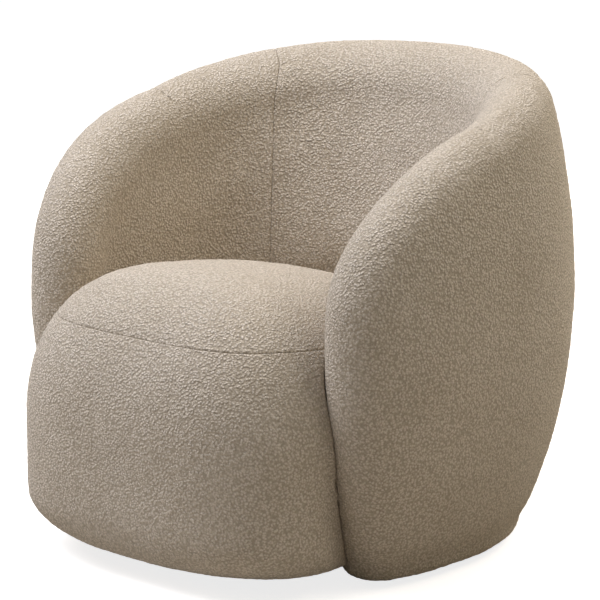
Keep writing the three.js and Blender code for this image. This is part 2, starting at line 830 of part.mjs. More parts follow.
const middleRailStart = frontEdgeAngle(middleRailHeight) + degrees(frontRibAngle);
const topRailStart = backAngle - degrees(topRailHalfAngle);

// An upright rib of plywood at an angle, housed round both rails
function rib(angleAt, top) {
  const guess = ribThickness / 2 / tubHalfWidth;
  const low = wallFoot + layerGap;
  const place = (u, v) => {
    const z = low + (top - low) * v;
    const middle = angleAt(z);
    const width = wallMiddle(middle - guess, z).distanceTo(wallMiddle(middle + guess, z));
    return { angle: middle + (2 * u - 1) * guess * ribThickness / width, z };
  };
  const slab = wallSlab(1, ribSpanCount, place, ribOuterDepth, ribInnerDepth);
  const housings = [levelRail(middleRailHeight, middleRailStart, layerGap, housingOverrun)];
  if (top > topRailHeight - railThickness) {
    housings.push(levelRail(topRailHeight, topRailStart, layerGap, housingOverrun));
  }
  return cutBy(slab, housings);
}

function uprightRib(angle) {
  const half = ribThickness / tubBackReach;
  return rib(() => angle, Math.min(rimHeight(Math.min(angle - half, backAngle)), tubRimHeight) - ribTopGap);
}

function armFrontRib() {
  const setback = degrees(frontRibAngle);
  const top = rimHeight(armFront + setback) - frontRibTopDrop;
  return rib((z) => frontEdgeAngle(z) + setback, top);
}

function webbingStrap(index) {
  const z = tubRimHeight - topStrapDrop - strapPitch * (strapEndAngles.length - 1 - index);
  const start = degrees(strapEndAngles[index]);
  const place = (u, v) => ({
    angle: start + (2 * backAngle - 2 * start) * u,
    z: z + (v - 0.5) * webbingWidth,
  });
  return wallSlab(strapSpanCount, 1, place, webbingDepth, webbingDepth + webbingThickness);
}

// Foam on the tub: a thin outer pad, three inner pads and the half-round roll along the rim
const padEnd = lastColumn - 1;
const outerFoam = () => sidePad(-padEnd, padEnd, 1, () => underCover, () => underCover + outerFoamThickness);
const lining = () => sidePad(-padEnd, padEnd, 1, () => liningDepth, () => liningDepth + liningThickness);

// The half-round bar along the rim; a skirt lets the same shape clear the pads below it
function rimBar(depth, skirt) {
  const rows = rimOuterRows + rimInnerRows;
  const strips = [];
  for (let index = -lastColumn; index <= lastColumn; index += 1) {
    const strip = [];
    for (let row = 0; row <= rows; row += 1) {
      strip.push(tubPoint(index, rollRows + sideRows + row, depth));
    }
    const drop = halfColumns[Math.abs(index)].outward.clone().multiplyScalar(-skirt);
    if (index < 0) drop.x *= -1;
    strip[0].add(drop);
    strip[rows].add(drop);
    strips.push(strip);
  }
  const positions = [];
  for (let c = 0; c < strips.length - 1; c += 1) {
    const [here, next] = [strips[c], strips[c + 1]];
    const turned = c < lastColumn;
    for (let r = 0; r < rows; r += 1) {
      pushQuad(positions, here[r], here[r + 1], next[r + 1], next[r], turned);
    }
    pushQuad(positions, here[0], next[0], next[rows], here[rows], turned);
  }
  const [first, last] = [strips[0], strips.at(-1)];
  for (let r = 1; r < rows; r += 1) {
    pushTriangle(positions, first[0], first[r + 1], first[r]);
    pushTriangle(positions, last[0], last[r], last[r + 1]);
  }
  return weld(positions);
}

function innerFoam(first, last) {
  const pad = sidePad(first, last, -1, () => underCover + padEase, (wall) => wall - innerFoamStart);
  return cutBy(pad, [rimBar(coverThickness, padEase)]);
}

// Outline of the bare strip under the tub wall
function tubDustCover() {
  const inset = footRoll + dustCoverInset;
  const outline = [];
  const right = halfColumns.map((column) => ({
    middle: wallMiddle(column.footAngle, wallFoot),
    normal: wallNormal(column.footAngle, wallFoot),
    reach: halfWall(column.footAngle) - inset,
  }));
  const at = ({ middle, normal, reach }, side, mirror) => new THREE.Vector2(
    mirror * (middle.x + side * reach * normal.x),
    middle.y + side * reach * normal.y,
  );
  const endArc = (mirror) => {
    const { outward, normal } = halfColumns[lastColumn];
    const { middle, reach } = right[lastColumn];
    return [45, 90, 135].map(degrees).map((turn) => new THREE.Vector2(
      mirror * (middle.x + reach * (normal.x * Math.cos(turn) + outward.x * Math.sin(turn))),
      middle.y + reach * (normal.y * Math.cos(turn) + outward.y * Math.sin(turn)),
    ));
  };
  for (const column of right) outline.push(at(column, 1, 1));
  outline.push(...endArc(1));
  for (const column of [...right].reverse()) outline.push(at(column, -1, 1));
  for (const column of right.slice(1)) outline.push(at(column, -1, -1));
  outline.push(...endArc(-1).reverse());
  for (const column of [...right].reverse().slice(0, -1)) outline.push(at(column, 1, -1));
  const plate = new THREE.ExtrudeGeometry(new THREE.Shape(outline), {
    depth: dustCoverThickness,
    bevelEnabled: false,
  });
  plate.translate(0, 0, railUnderside - layerGap - dustCoverThickness);
  return cutBy(plate, rearBores);
}

// Seat pieces
function seatBaseBoard() {
  const solid = keepBetween(seatSolid(underCover), 0, baseBoardTop);
  return cutBy(geometryOf(solid), frontBores);
}

function seatDustCover() {
  const outline = seatGrid([seatEdgeLiftAngle], coverThickness + dustCoverInset)
    .map(([point]) => new THREE.Vector2(point.x, point.y).sub(new THREE.Vector2(0, seatCentreY)))
    .map((point) => point.setLength(point.length() - coverThickness).add(new THREE.Vector2(0, seatCentreY)));
  const plate = new THREE.ExtrudeGeometry(new THREE.Shape(outline), {
    depth: dustCoverThickness,
    bevelEnabled: false,
  });
  plate.translate(0, 0, boardUnderside - layerGap - dustCoverThickness);
  return cutBy(plate, frontBores);
}

function borderFoam() {
  const shell = keepBetween(seatSolid(underCover), baseBoardTop + layerGap, platform - layerGap);
  const width = 2 * (frameHalfWidth + layerGap);
  const length = frameLength + 2 * layerGap;
  const cavity = box(width, length, platform, 0, frameMiddleY, baseBoardTop - layerGap);
  return cutBy(geometryOf(shell), [cavity, ...boltBores(1), ...boltBores(-1)]);
}

function cushionFoam() {
  return geometryOf(keepBetween(seatSolid(underCover + wrapThickness + layerGap), platform, seatApexHeight));
}

function fibreWrap() {
  const skin = seatSolid(underCover).subtract(seatSolid(underCover + wrapThickness));
  return geometryOf(keepBetween(skin, platform, seatApexHeight));
}

function clipStrip(y, lip) {
  const width = 2 * (frameHalfWidth - seatRailThickness);
  const low = seatRailTop + layerGap;
  const flat = box(width, clipStripWidth, clipStripThickness, 0, y, low);
  const upright = box(
    width, clipStripThickness, springWire, 0, y + lip * (clipStripWidth - clipStripThickness) / 2, low,
  );
  return geometryOf(solidOf(flat).add(solidOf(upright)));
}

function seatSpring(index) {
  const span = 2 * (frameHalfWidth - seatRailThickness - springEdgeGap);
  const x = span * (index / (springCount - 1) - 0.5);
  const start = frameFrontY + seatRailThickness / 2;
  const end = frameRearY - seatRailThickness / 2;
  const turns = 4 * springWaves;
  const points = Array.from({ length: turns + 1 }, (_, step) => new THREE.Vector3(
    x + springHalfWidth * Math.sin(step * Math.PI / 2),
    start + (end - start) * step / turns,
    springLevel,
  ));
  return tubeAlong(points, springWire / 2, 4, turns);
}

// Colours and finishes
function finish(color, roughness, metalness = 0) {
  return () => new THREE.MeshStandardMaterial({ color, roughness, metalness });
}

const boucle = finish(0xa99d8a, 0.95);
const foam = finish(0xe9dfb8, 0.9);
const fibre = finish(0xf2f2ee, 0.95);
const plywood = finish(0xc69c6d, 0.7);
const board = finish(0x8a6f52, 0.85);
const webbing = finish(0x3a3a3c, 0.9);
const cambric = finish(0x1c1c1e, 0.95);
const steel = finish(0xa8abb0, 0.35, 1);
const nylon = finish(0x2a2a2c, 0.5);

const chair = new THREE.Group();

function add(name, geometry, material) {
  const mesh = new THREE.Mesh(geometry, material());
  mesh.name = name;
  chair.add(mesh);
}

function addPair(name, geometry, material) {
  add(`${name}_left`, geometry, material);
  const mirrored = geometry.clone().applyMatrix4(new THREE.Matrix4().makeScale(-1, 1, 1));
  const index = mirrored.getIndex().array;
  const flipped = [];
  for (let corner = 0; corner < index.length; corner += 3) {
    flipped.push(index[corner], index[corner + 2], index[corner + 1]);
  }
  mirrored.setIndex(flipped);
  add(`${name}_right`, mirrored, material);
}

// Tub frame
add('tub_base_rail', baseRail(), plywood);
add('tub_middle_rail', levelRail(middleRailHeight, middleRailStart), plywood);
add('tub_top_rail', levelRail(topRailHeight, topRailStart), plywood);
add('back_rib_centre', uprightRib(backAngle), plywood);
addPair('back_rib', uprightRib(degrees(backRibAngle)), plywood);
addPair('shoulder_rib', uprightRib(degrees(shoulderRibAngle)), plywood);
addPair('side_rib', cutBy(uprightRib(degrees(sideRibAngle)), boltBores(1)), plywood);
addPair('arm_front_rib', armFrontRib(), plywood);
add('tub_outer_lining', lining(), board);
for (let index = 0; index < strapEndAngles.length; index += 1) {
  add(`back_webbing_${index + 1}`, webbingStrap(index), webbing);
}

// Tub padding and cloth
add('tub_outer_foam', outerFoam(), foam);
add('inner_back_foam', innerFoam(-backColumns, backColumns), foam);
addPair('inner_arm_foam', cutBy(innerFoam(backColumns, padEnd), boltBores(1)), foam);
add('rim_foam', rimBar(underCover, 0), foam);
const clothEnd = lastColumn + rollRows;
add('outer_cover', clothPanel(-clothEnd, clothEnd, 0, seamRow, { end: true }), boucle);
const backSeams = { start: true, left: true, right: true };
add('inner_back_cover', clothPanel(-backColumns, backColumns, seamRow, rowCount, backSeams), boucle);
const armPanel = clothPanel(backColumns, clothEnd, seamRow, rowCount, { start: true, left: true });
addPair('inner_arm_cover', cutBy(armPanel, boltBores(1)), boucle);
add('tub_dust_cover', tubDustCover(), cambric);

// Seat frame and suspension
add('seat_base_board', seatBaseBoard(), plywood);
const sideRailX = frameHalfWidth - seatRailThickness / 2;
const sideRail = box(seatRailThickness, frameLength, seatRailHeight, sideRailX, frameMiddleY, railLow);
addPair('seat_side_rail', cutBy(sideRail, boltBores(1)), plywood);
const crossWidth = 2 * (frameHalfWidth - seatRailThickness - layerGap);
const crossRail = (y) => box(crossWidth, seatRailThickness, seatRailHeight, 0, y, railLow);
add('seat_front_rail', crossRail(frameFrontY + seatRailThickness / 2), plywood);
add('seat_rear_rail', crossRail(frameRearY - seatRailThickness / 2), plywood);
const postX = frameHalfWidth - seatPostSide / 2;
const postHeight = railLow - baseBoardTop - 2 * layerGap;
const post = (y) => box(seatPostSide, seatPostSide, postHeight, postX, y, baseBoardTop + layerGap);
addPair('seat_front_post', post(frameFrontY + seatPostSide / 2), plywood);
addPair('seat_rear_post', post(postRearY - seatPostSide / 2), plywood);
add('spring_clip_front', clipStrip(frameFrontY + clipStripWidth / 2, -1), steel);
add('spring_clip_rear', clipStrip(frameRearY - clipStripWidth / 2, 1), steel);
for (let index = 0; index < springCount; index += 1) {
  add(`seat_spring_${index + 1}`, seatSpring(index), steel);
}
const insulatorPad = box(
  2 * frameHalfWidth, frameLength, insulatorThickness, 0, frameMiddleY, insulatorLow,
);
add('seat_insulator', insulatorPad, fibre);

// Seat padding and cloth
add('seat_border_foam', borderFoam(), foam);
add('seat_cushion_foam', cushionFoam(), foam);
add('seat_fibre_wrap', fibreWrap(), fibre);
add('seat_top_cover', seatCloth(topLifts, 'start'), boucle);
const band = cutBy(seatCloth(bandLifts, 'end'), [...boltBores(1), ...boltBores(-1)]);
add('seat_band_cover', band, boucle);
add('seat_dust_cover', seatDustCover(), cambric);

// Bolts and glides
boltHeights.forEach((z, index) => {
  add(`frame_bolt_left_${index + 1}`, frameBolt(1, z), steel);
  add(`frame_bolt_right_${index + 1}`, frameBolt(-1, z), steel);
});
frontGlides.forEach(([x, y]) => {
  add(`front_glide_${x > 0 ? 'left' : 'right'}`, glide(x, y, boardUnderside), nylon);
});
rearGlides.forEach(([x, y]) => {
  add(`rear_glide_${x > 0 ? 'left' : 'right'}`, glide(x, y, railUnderside), nylon);
});

// The box's middle goes over the origin
const bounds = new THREE.Box3().setFromObject(chair);
chair.position.y = -(bounds.min.y + bounds.max.y) / 2;

export default chair;
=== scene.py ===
"""Looks of the tub chair: looped cloth over foam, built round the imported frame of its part."""

import json
import logging
import math
from dataclasses import dataclass
from enum import Enum
from typing import Callable, Sequence

import bmesh
import bpy
import numpy as np
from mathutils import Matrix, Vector, noise
from mathutils.bvhtree import BVHTree


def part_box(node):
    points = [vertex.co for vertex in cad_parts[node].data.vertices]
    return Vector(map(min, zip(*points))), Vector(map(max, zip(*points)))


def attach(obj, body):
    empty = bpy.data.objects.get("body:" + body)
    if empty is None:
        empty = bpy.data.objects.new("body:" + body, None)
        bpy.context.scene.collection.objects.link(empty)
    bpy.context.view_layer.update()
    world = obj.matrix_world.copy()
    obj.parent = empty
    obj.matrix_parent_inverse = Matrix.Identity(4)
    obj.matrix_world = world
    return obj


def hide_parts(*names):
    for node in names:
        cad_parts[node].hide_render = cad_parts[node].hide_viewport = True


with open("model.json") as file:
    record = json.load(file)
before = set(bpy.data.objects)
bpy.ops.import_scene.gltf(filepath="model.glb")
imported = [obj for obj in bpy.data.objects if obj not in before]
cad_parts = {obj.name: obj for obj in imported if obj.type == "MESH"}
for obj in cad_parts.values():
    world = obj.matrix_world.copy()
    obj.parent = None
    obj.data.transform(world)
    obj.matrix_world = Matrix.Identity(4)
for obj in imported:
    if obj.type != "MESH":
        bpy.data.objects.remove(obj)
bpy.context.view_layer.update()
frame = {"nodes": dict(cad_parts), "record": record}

log = logging.getLogger("tub_chair")

INWARD_PROBE = 0.006
SMALL_TURN = 1e-3
SAME_PLACE = 1e-4
MERGE_DISTANCE = 2e-5
LEAST_EDGE = 5e-6
TINY = 1e-12
MIRROR = np.array([-1.0, 1.0, 1.0])
WHITE = (1.0, 1.0, 1.0, 1.0)

# Places along the rim
ARM_FOOT, ARM_END = 1.0, 2.0

# Places round the wall's section
FOOT_OUT, RIM_OUT, RIM_TOP, RIM_IN, FOOT_IN, SECTION_END = 1.0, 2.0, 2.5, 3.0, 4.0, 5.0

Colour = tuple[float, float, float]


class Edge(Enum):
    """Edge of a panel: the grid's axis that it bounds, and whether it lies at that axis's end."""

    START = (0, False)
    END = (0, True)
    BOTTOM = (1, False)
    TOP = (1, True)


class Pattern(Enum):
    """Pattern of a plain finish, and which of its node's outputs is read."""

    GRAIN = ("ShaderNodeTexNoise", "Fac")
    PORES = ("ShaderNodeTexVoronoi", "Distance")
    WEAVE = ("ShaderNodeTexChecker", "Fac")


def smooth_step(value: np.ndarray, low: float, high: float) -> np.ndarray:
    """Rises softly from 0 at low to 1 at high."""
    share = np.clip((np.asarray(value) - low) / (high - low), 0.0, 1.0)
    return share * share * (3.0 - 2.0 * share)


def unit(vectors: np.ndarray) -> np.ndarray:
    """The same directions with a length of one."""
    return vectors / np.maximum(np.linalg.norm(vectors, axis=-1, keepdims=True), TINY)


def across(half: np.ndarray) -> np.ndarray:
    """Points across the middle of the chair, by column and row, from those of its left half."""
    return np.concatenate([half[::-1] * MIRROR, half[1:]])


def direction(azimuth: float, elevation: float) -> Vector:
    """Direction by degrees round from the front towards the sitter's left, and above level."""
    turn, rise = math.radians(azimuth), math.radians(elevation)
    return Vector((math.sin(turn) * math.cos(rise), -math.cos(turn) * math.cos(rise), math.sin(rise)))


@dataclass(frozen=True)
class TubForm:
    """Wall of back and arms: a thick sheet whose middle surface is a barrel, open at the front.

    A place on the wall has two numbers. The first runs along the rim from the middle of the back,
    at 0, to the foot of the arm, at 1, and on under the foot, to 2. The second is the section, which
    goes from the underside, at 0, up the outside, over the rim between 2 and 3, and down the inside
    to the underside again, at 5.
    """

    centre_y: float
    half_width: float = 0.362
    back_reach: float = 0.345
    front_reach: float = 0.341
    widest_height: float = 0.377
    rim_height: float = 0.694
    arm_turn_height: float = 0.410
    back_thickness: float = 0.106
    arm_thickness: float = 0.119
    back_pad_thickness: float = 0.090
    back_pad_start_angle: float = 75.0
    back_pad_full_angle: float = 150.0
    back_pad_full_share: float = 0.55
    back_pad_rim_share: float = 0.22
    fill_depth: float = 0.024
    fill_start: float = 0.015
    fill_reach: float = 0.170
    fill_arm_depth: float = 0.012
    fill_arm_reach: float = 0.060
    fill_sideways_places: tuple[float, float] = (0.1, 0.4)
    fill_foot_shares: tuple[float, float] = (0.1, 0.6)
    fill_end_places: tuple[float, float] = (0.42, 0.68)
    clearance: float = 0.008
    foot_roll: float = 0.026
    foot_blend: float = 0.080
    back_lean_share: float = 0.03
    low_narrow_share: float = 0.24
    top_narrow_share: float = 0.18
    back_power: float = 2.11
    arm_power: float = 2.73
    rim_spread_power: float = 2.22
    rim_rise_power: float = 2.02
    arm_front_angle: float = 54.6
    arm_foot_turn_angle: float = 14.3
    rim_front_share: float = 0.3
    column_lean_power: float = 2.6
    column_lean_share: float = 0.75
    column_blend_power: float = 0.7
    back_seam_angle: float = 129.5
    rim_seam_angle: float = 52.0
    seam_shift_start: float = 2.7
    seam_shift_reach: float = 0.100
    seam_shift_power: float = 1.15
    rim_samples: int = 4001

    @property
    def height(self) -> float:
        """Top of the rim at the middle of the back."""
        return self.rim_height + self.back_thickness / 2

    @property
    def wall_foot(self) -> float:
        """Height at which the rounded foot passes into the wall."""
        return self.clearance + self.foot_roll

    @property
    def arm_front(self) -> float:
        """Angle of the arm's front edge at its turn, in radians."""
        return math.radians(self.arm_front_angle)

    @property
    def rim_seam(self) -> float:
        """Section of the seam that joins the outer cover to the inner ones."""
        return RIM_OUT + self.rim_seam_angle / 180.0

    def barrel_share(self, z: np.ndarray) -> np.ndarray:
        """Share of the widest plan that is left at a height.

        Args:
            z: Heights.

        Returns:
            The shares.
        """
        low = np.maximum(0.0, (self.widest_height - z) / self.widest_height)
        high = np.maximum(0.0, (z - self.widest_height) / (self.height - self.widest_height))
        return 1.0 - self.low_narrow_share * low**2 - self.top_narrow_share * high**2

    def middle(self, angle: np.ndarray, z: np.ndarray) -> np.ndarray:
        """Middle of the wall.

        Args:
            angle: Angles from the front, round the sitter's left to the back, in radians.
            z: Heights of the same shape.

        Returns:
            Points, with one more axis of three coordinates.
        """
        angle, z = np.broadcast_arrays(np.asarray(angle, float), np.asarray(z, float))
        sine, cosine = np.sin(angle), np.cos(angle)
        in_front = cosine > 0
        power = np.where(in_front, 2.0 / self.arm_power, 2.0 / self.back_power)
        reach = np.where(in_front, self.front_reach, self.back_reach)
        share = self.barrel_share(z)
        x = share * self.half_width * np.sign(sine) * np.abs(sine) ** power
        lean = self.back_lean_share * (z - self.widest_height)
        y = self.centre_y + lean - share * reach * np.sign(cosine) * np.abs(cosine) ** power
        return np.stack([x, y, z], axis=-1)

    def level_at_foot(self, vectors: np.ndarray, z: np.ndarray) -> np.ndarray:
        """Turns directions level towards the foot, so that the wall stands square there.

        Args:
            vectors: Directions.
            z: Heights at which they stand.

        Returns:
            The turned directions, with a length of one.
        """
        turned = vectors.copy()
        turned[..., 2] *= smooth_step(z, self.wall_foot, self.wall_foot + self.foot_blend)
        return unit(turned)

    def normal(self, angle: np.ndarray, z: np.ndarray) -> np.ndarray:
        """Outward direction of the wall at angles and heights.

        Args:
            angle: Angles in radians.
            z: Heights of a shape that fits.

        Returns:
            Directions with a length of one.
        """
        rise = self.height * SMALL_TURN
        around = self.middle(angle + SMALL_TURN, z) - self.middle(angle - SMALL_TURN, z)
        up = self.middle(angle, z + rise) - self.middle(angle, z - rise)
        return self.level_at_foot(unit(np.cross(around, up)), np.asarray(z))

    def half_wall(self, angle: np.ndarray) -> np.ndarray:
        """Half of the wall's thickness, which grows from the back to the arm fronts."""
        share = (math.pi - angle) / (math.pi - self.arm_front)
        return (self.back_thickness + (self.arm_thickness - self.back_thickness) * share**2) / 2

    def back_pad(self, angle: np.ndarray, down: np.ndarray) -> np.ndarray:
        """Extra thickness inside the back, which makes it lean.

        Args:
            angle: Angles in radians.
            down: How far down the padding, from the top of the rim, 0, to its fullest height, 1.

        Returns:
            The extra thickness.
        """
        start, full = math.radians(self.back_pad_start_angle), math.radians(self.back_pad_full_angle)
        return self.back_pad_thickness * smooth_step(angle, start, full) * smooth_step(down, 0.0, 1.0)

    def pad_down(self, share: np.ndarray) -> np.ndarray:
        """How far down the padding the places of the inside are.

        Args:
            share: Heights on the wall, from the foot, 0, to the rim, 1.

        Returns:
            Places from the top of the rim, 0, to the fullest height, 1, and on to the foot, 0.
        """
        above = (1.0 - share) / (1.0 - self.back_pad_full_share)
        rim_share = self.back_pad_rim_share
        return np.where(share < self.back_pad_full_share, share / self.back_pad_full_share,
                        rim_share + (1.0 - rim_share) * above)

    def inside_fill(self, along: np.ndarray, down: np.ndarray, share: np.ndarray) -> np.ndarray:
        """Soft filling under the rim's inner side, which keeps the inside full and leaning.

        Args:
            along: Places along the rim.
            down: Lengths of cloth down from the top of the rim.
            share: Heights on the wall, from the foot, 0, to the rim, 1.

        Returns:
            The extra thickness.
        """
        sideways = smooth_step(along, *self.fill_sideways_places)
        depth = self.fill_depth + self.fill_arm_depth * sideways
        reach = self.fill_reach + self.fill_arm_reach * sideways
        shape = smooth_step((down - self.fill_start) / reach, 0.0, 1.0)
        shape = shape * smooth_step(share, *self.fill_foot_shares)
        return depth * shape * (1.0 - smooth_step(along, *self.fill_end_places))

    def edge_angle(self, z: np.ndarray) -> np.ndarray:
        """Angle of the arm's upright front edge at a height below its turn."""
        share = (self.arm_turn_height - np.minimum(z, self.arm_turn_height)) / self.arm_turn_height
        return self.arm_front + math.radians(self.arm_foot_turn_angle) * share**2

    def rim(self, along: np.ndarray) -> tuple[np.ndarray, np.ndarray]:
        """The rim's middle line.

        Args:
            along: Places from the middle of the back, 0, to the foot of the arm, 1.

        Returns:
            The angles and the heights of the line there.
        """
        top_share = 1.0 - self.rim_front_share
        fall = np.clip((along - top_share) / self.rim_front_share, 0.0, 1.0)
        front_z = self.arm_turn_height + (self.wall_foot - self.arm_turn_height) * fall
        climb = np.clip((top_share - along) / top_share, 0.0, 1.0) * math.pi / 2
        spread = 1.0 - np.cos(climb) ** (2.0 / self.rim_spread_power)
        rise = np.sin(climb) ** (2.0 / self.rim_rise_power)
        top_angle = self.arm_front + (math.pi - self.arm_front) * spread
        top_z = self.arm_turn_height + (self.rim_height - self.arm_turn_height) * rise
        is_front = along > top_share
        angle = np.where(is_front, self.edge_angle(front_z), top_angle)
        return angle, np.where(is_front, front_z, top_z)

    def foot_angle(self, along: np.ndarray) -> np.ndarray:
        """Angle at which the strip of cloth that starts at a rim place reaches the foot.

        Args:
            along: Places along the rim.

        Returns:
            Angles in radians.
        """
        last = self.edge_angle(np.asarray(self.wall_foot))
        rest = 1.0 - along
        eased = (self.column_lean_share * rest**self.column_lean_power
                 + (1.0 - self.column_lean_share) * rest)
        return last + (math.pi - last) * eased

    def outward(self, along: np.ndarray) -> np.ndarray:
        """Direction square to the rim's line and to the wall: up on top, forward at the arm front.

        Args:
            along: Places along the rim.

        Returns:
            Directions with a length of one.
        """
        ahead = self.middle(*self.rim(np.minimum(1.0, along + SMALL_TURN)))
        behind = self.middle(*self.rim(np.maximum(0.0, along - SMALL_TURN)))
        tangent = ahead - behind
        tangent[along < SMALL_TURN] = (1.0, 0.0, 0.0)
        angle, z = self.rim(along)
        return self.level_at_foot(unit(np.cross(tangent, self.normal(angle, z))), z)

    def roll(self, share: np.ndarray, half: np.ndarray, depth: float) -> tuple[np.ndarray, np.ndarray]:
        """Reach and height of the rounded foot, from its underside at 0 to the wall at 1.

        Args:
            share: Places from the underside, 0, to the wall, 1.
            half: Half of the wall's thickness.
            depth: Depth under the surface.

        Returns:
            The reaches from the wall's middle, and the heights.
        """
        radius = self.foot_roll - depth
        reach = half - self.foot_roll + radius * np.sin(share * math.pi / 2)
        return reach, self.wall_foot - radius * np.cos(share * math.pi / 2)

    def column(self, along: np.ndarray, share: np.ndarray) -> tuple[np.ndarray, np.ndarray]:
        """Angles and heights up the strips of cloth, from the foot, 0, to the rim, 1.

        Args:
            along: Places along the rim.
            share: Heights on the wall, from the foot, 0, to the rim, 1.

        Returns:
            The angles and the heights.
        """
        rim_angle, rim_z = self.rim(along)
        foot_angle = self.foot_angle(along)
        angle = foot_angle + (rim_angle - foot_angle) * share**self.column_blend_power
        return angle, self.wall_foot + (rim_z - self.wall_foot) * share

    def side_points(self, along: np.ndarray, section: np.ndarray, depth: float) -> np.ndarray:
        """Points of the outside and the inside, from the foot up to the rim.

        Args:
            along: Places along the rim.
            section: Places round the section, of a shape that fits along's.
            depth: Depth under the surface.

        Returns:
            Points, with one more axis of three coordinates.
        """
        inner = section > RIM_TOP
        share = np.clip(np.where(inner, SECTION_END - section, section) - FOOT_OUT, 0.0, 1.0)
        rim_angle, rim_z = self.rim(along)
        angle, z = self.column(along, share)
        quarter = self.half_wall(rim_angle) * math.pi / 2
        down = quarter + (1.0 - share) * (rim_z - self.wall_foot)
        pad = self.back_pad(angle, self.pad_down(share)) + self.inside_fill(along, down, share)
        reach = np.where(inner, -1.0, 1.0) * (self.half_wall(angle) + np.where(inner, pad, 0.0) - depth)
        return self.middle(angle, z) + self.normal(angle, z) * reach[..., None]

    def foot_points(self, along: np.ndarray, section: np.ndarray, depth: float) -> np.ndarray:
        """Points of the rounded foot, on both sides.

        Args:
            along: Places along the rim.
            section: Places round the section, of a shape that fits along's.
            depth: Depth under the surface.

        Returns:
            Points, with one more axis of three coordinates.
        """
        inner = section > RIM_TOP
        share = np.clip(np.where(inner, SECTION_END - section, section), 0.0, 1.0)
        angle = self.foot_angle(along)
        reach, height = self.roll(share, self.half_wall(angle), depth)
        z = np.full_like(angle, self.wall_foot)
        points = (self.middle(angle, z)
                  + self.normal(angle, z) * (np.where(inner, -1.0, 1.0) * reach)[..., None])
        points[..., 2] = height
        return points

    def rim_points(self, along: np.ndarray, section: np.ndarray, depth: float) -> np.ndarray:
        """Points of the half-round rim.

        Args:
            along: Places along the rim.
            section: Places round the section, of a shape that fits along's.
            depth: Depth under the surface.

        Returns:
            Points, with one more axis of three coordinates.
        """
        angle, z = self.rim(along)
        turn = np.clip(section - RIM_OUT, 0.0, 1.0)[..., None] * math.pi
        past = np.clip(2.0 * (section - RIM_TOP), 0.0, 1.0)
        quarter = self.half_wall(angle) * math.pi / 2
        pad = self.back_pad(angle, self.back_pad_rim_share * past)
        pad = (pad + self.inside_fill(along, quarter * past, np.ones_like(past)))[..., None]
        radius = (self.half_wall(angle) - depth)[..., None]
        points = self.middle(angle, z) + self.normal(angle, z) * (radius * np.cos(turn) - pad)
        return points + self.outward(along) * radius * np.sin(turn)

    def wall(self, along: np.ndarray, section: np.ndarray, depth: float) -> np.ndarray:
        """Points of the wall above its foot's end.

        Args:
            along: Places along the rim, up to 1.
            section: Places round the section, of a shape that fits along's.
            depth: Depth under the surface.

        Returns:
            Points, with one more axis of three coordinates.
        """
        along, section = np.broadcast_arrays(along, section)
        on_foot = ((section < FOOT_OUT) | (section > FOOT_IN))[..., None]
        on_rim = ((section >= RIM_OUT) & (section <= RIM_IN))[..., None]
        points = np.where(on_foot, self.foot_points(along, section, depth),
                          self.side_points(along, section, depth))
        return np.where(on_rim, self.rim_points(along, section, depth), points)

    def foot_end(self, under: np.ndarray, section: np.ndarray, depth: float) -> np.ndarray:
        """Rounded underside of the arm's end.

        Args:
            under: Places from the wall, 0, round to the underside, 1.
            section: Places round the section.
            depth: Depth under the surface.

        Returns:
            Points by place and section.
        """
        last = np.array([ARM_FOOT])
        angle, z = self.rim(last)
        half = self.half_wall(angle)
        folded = np.where(section > RIM_TOP, SECTION_END - section, section)[None, :]
        share = np.minimum(np.clip(folded, 0.0, 1.0), 1.0 - under[:, None])
        reach, height = self.roll(share, half, depth)
        turn = np.clip(section - RIM_OUT, 0.0, 1.0)[None, :, None] * math.pi
        around = self.normal(angle, z)[0] * np.cos(turn) + self.outward(last)[0] * np.sin(turn)
        points = self.middle(angle, z)[0] + around * reach[..., None]
        points[..., 2] = height
        return points

    def surface(self, along: np.ndarray, section: np.ndarray, depth: float) -> np.ndarray:
        """Points of the whole wall, foot's end included, by place and section.

        Args:
            along: Places along the rim, in one list.
            section: Places round the section, in one list.
            depth: Depth under the surface.

        Returns:
            Points by place and section.
        """
        section = np.atleast_1d(section)
        main = self.wall(along[along <= ARM_FOOT][:, None], section[None, :], depth)
        end = self.foot_end(along[along > ARM_FOOT] - ARM_FOOT, section, depth)
        return np.concatenate([main, end])

    def lining(self, along: np.ndarray, section: np.ndarray, from_outside: float) -> np.ndarray:
        """Points of a layer at a distance from the outside face, by place and inner section.

        Args:
            along: Places along the rim.
            section: Inner sections, of a shape that fits along's.
            from_outside: Distance from the outside face.

        Returns:
            Points, with one more axis of three coordinates.
        """
        along, section = np.broadcast_arrays(along, section)
        angle, z = self.column(along, np.clip(FOOT_IN - section, 0.0, 1.0))
        reach = (self.half_wall(angle) - from_outside)[..., None]
        return self.middle(angle, z) + self.normal(angle, z) * reach

    def seam_shift(self, section: np.ndarray) -> np.ndarray:
        """How far along the rim the back seam strays from its column, towards the arm, on its way down."""
        share = np.clip((section - self.seam_shift_start) / (FOOT_IN - self.seam_shift_start), 0.0, 1.0)
        return self.seam_shift_reach * share**self.seam_shift_power

    def seam_place(self) -> float:
        """Place along the rim of the seam between inner back and inner arm.

        Returns:
            The place.
        """
        along = np.linspace(0.0, 1.0 - self.rim_front_share, self.rim_samples)
        angle, _ = self.rim(along)
        return float(np.interp(-math.radians(self.back_seam_angle), -angle, along))


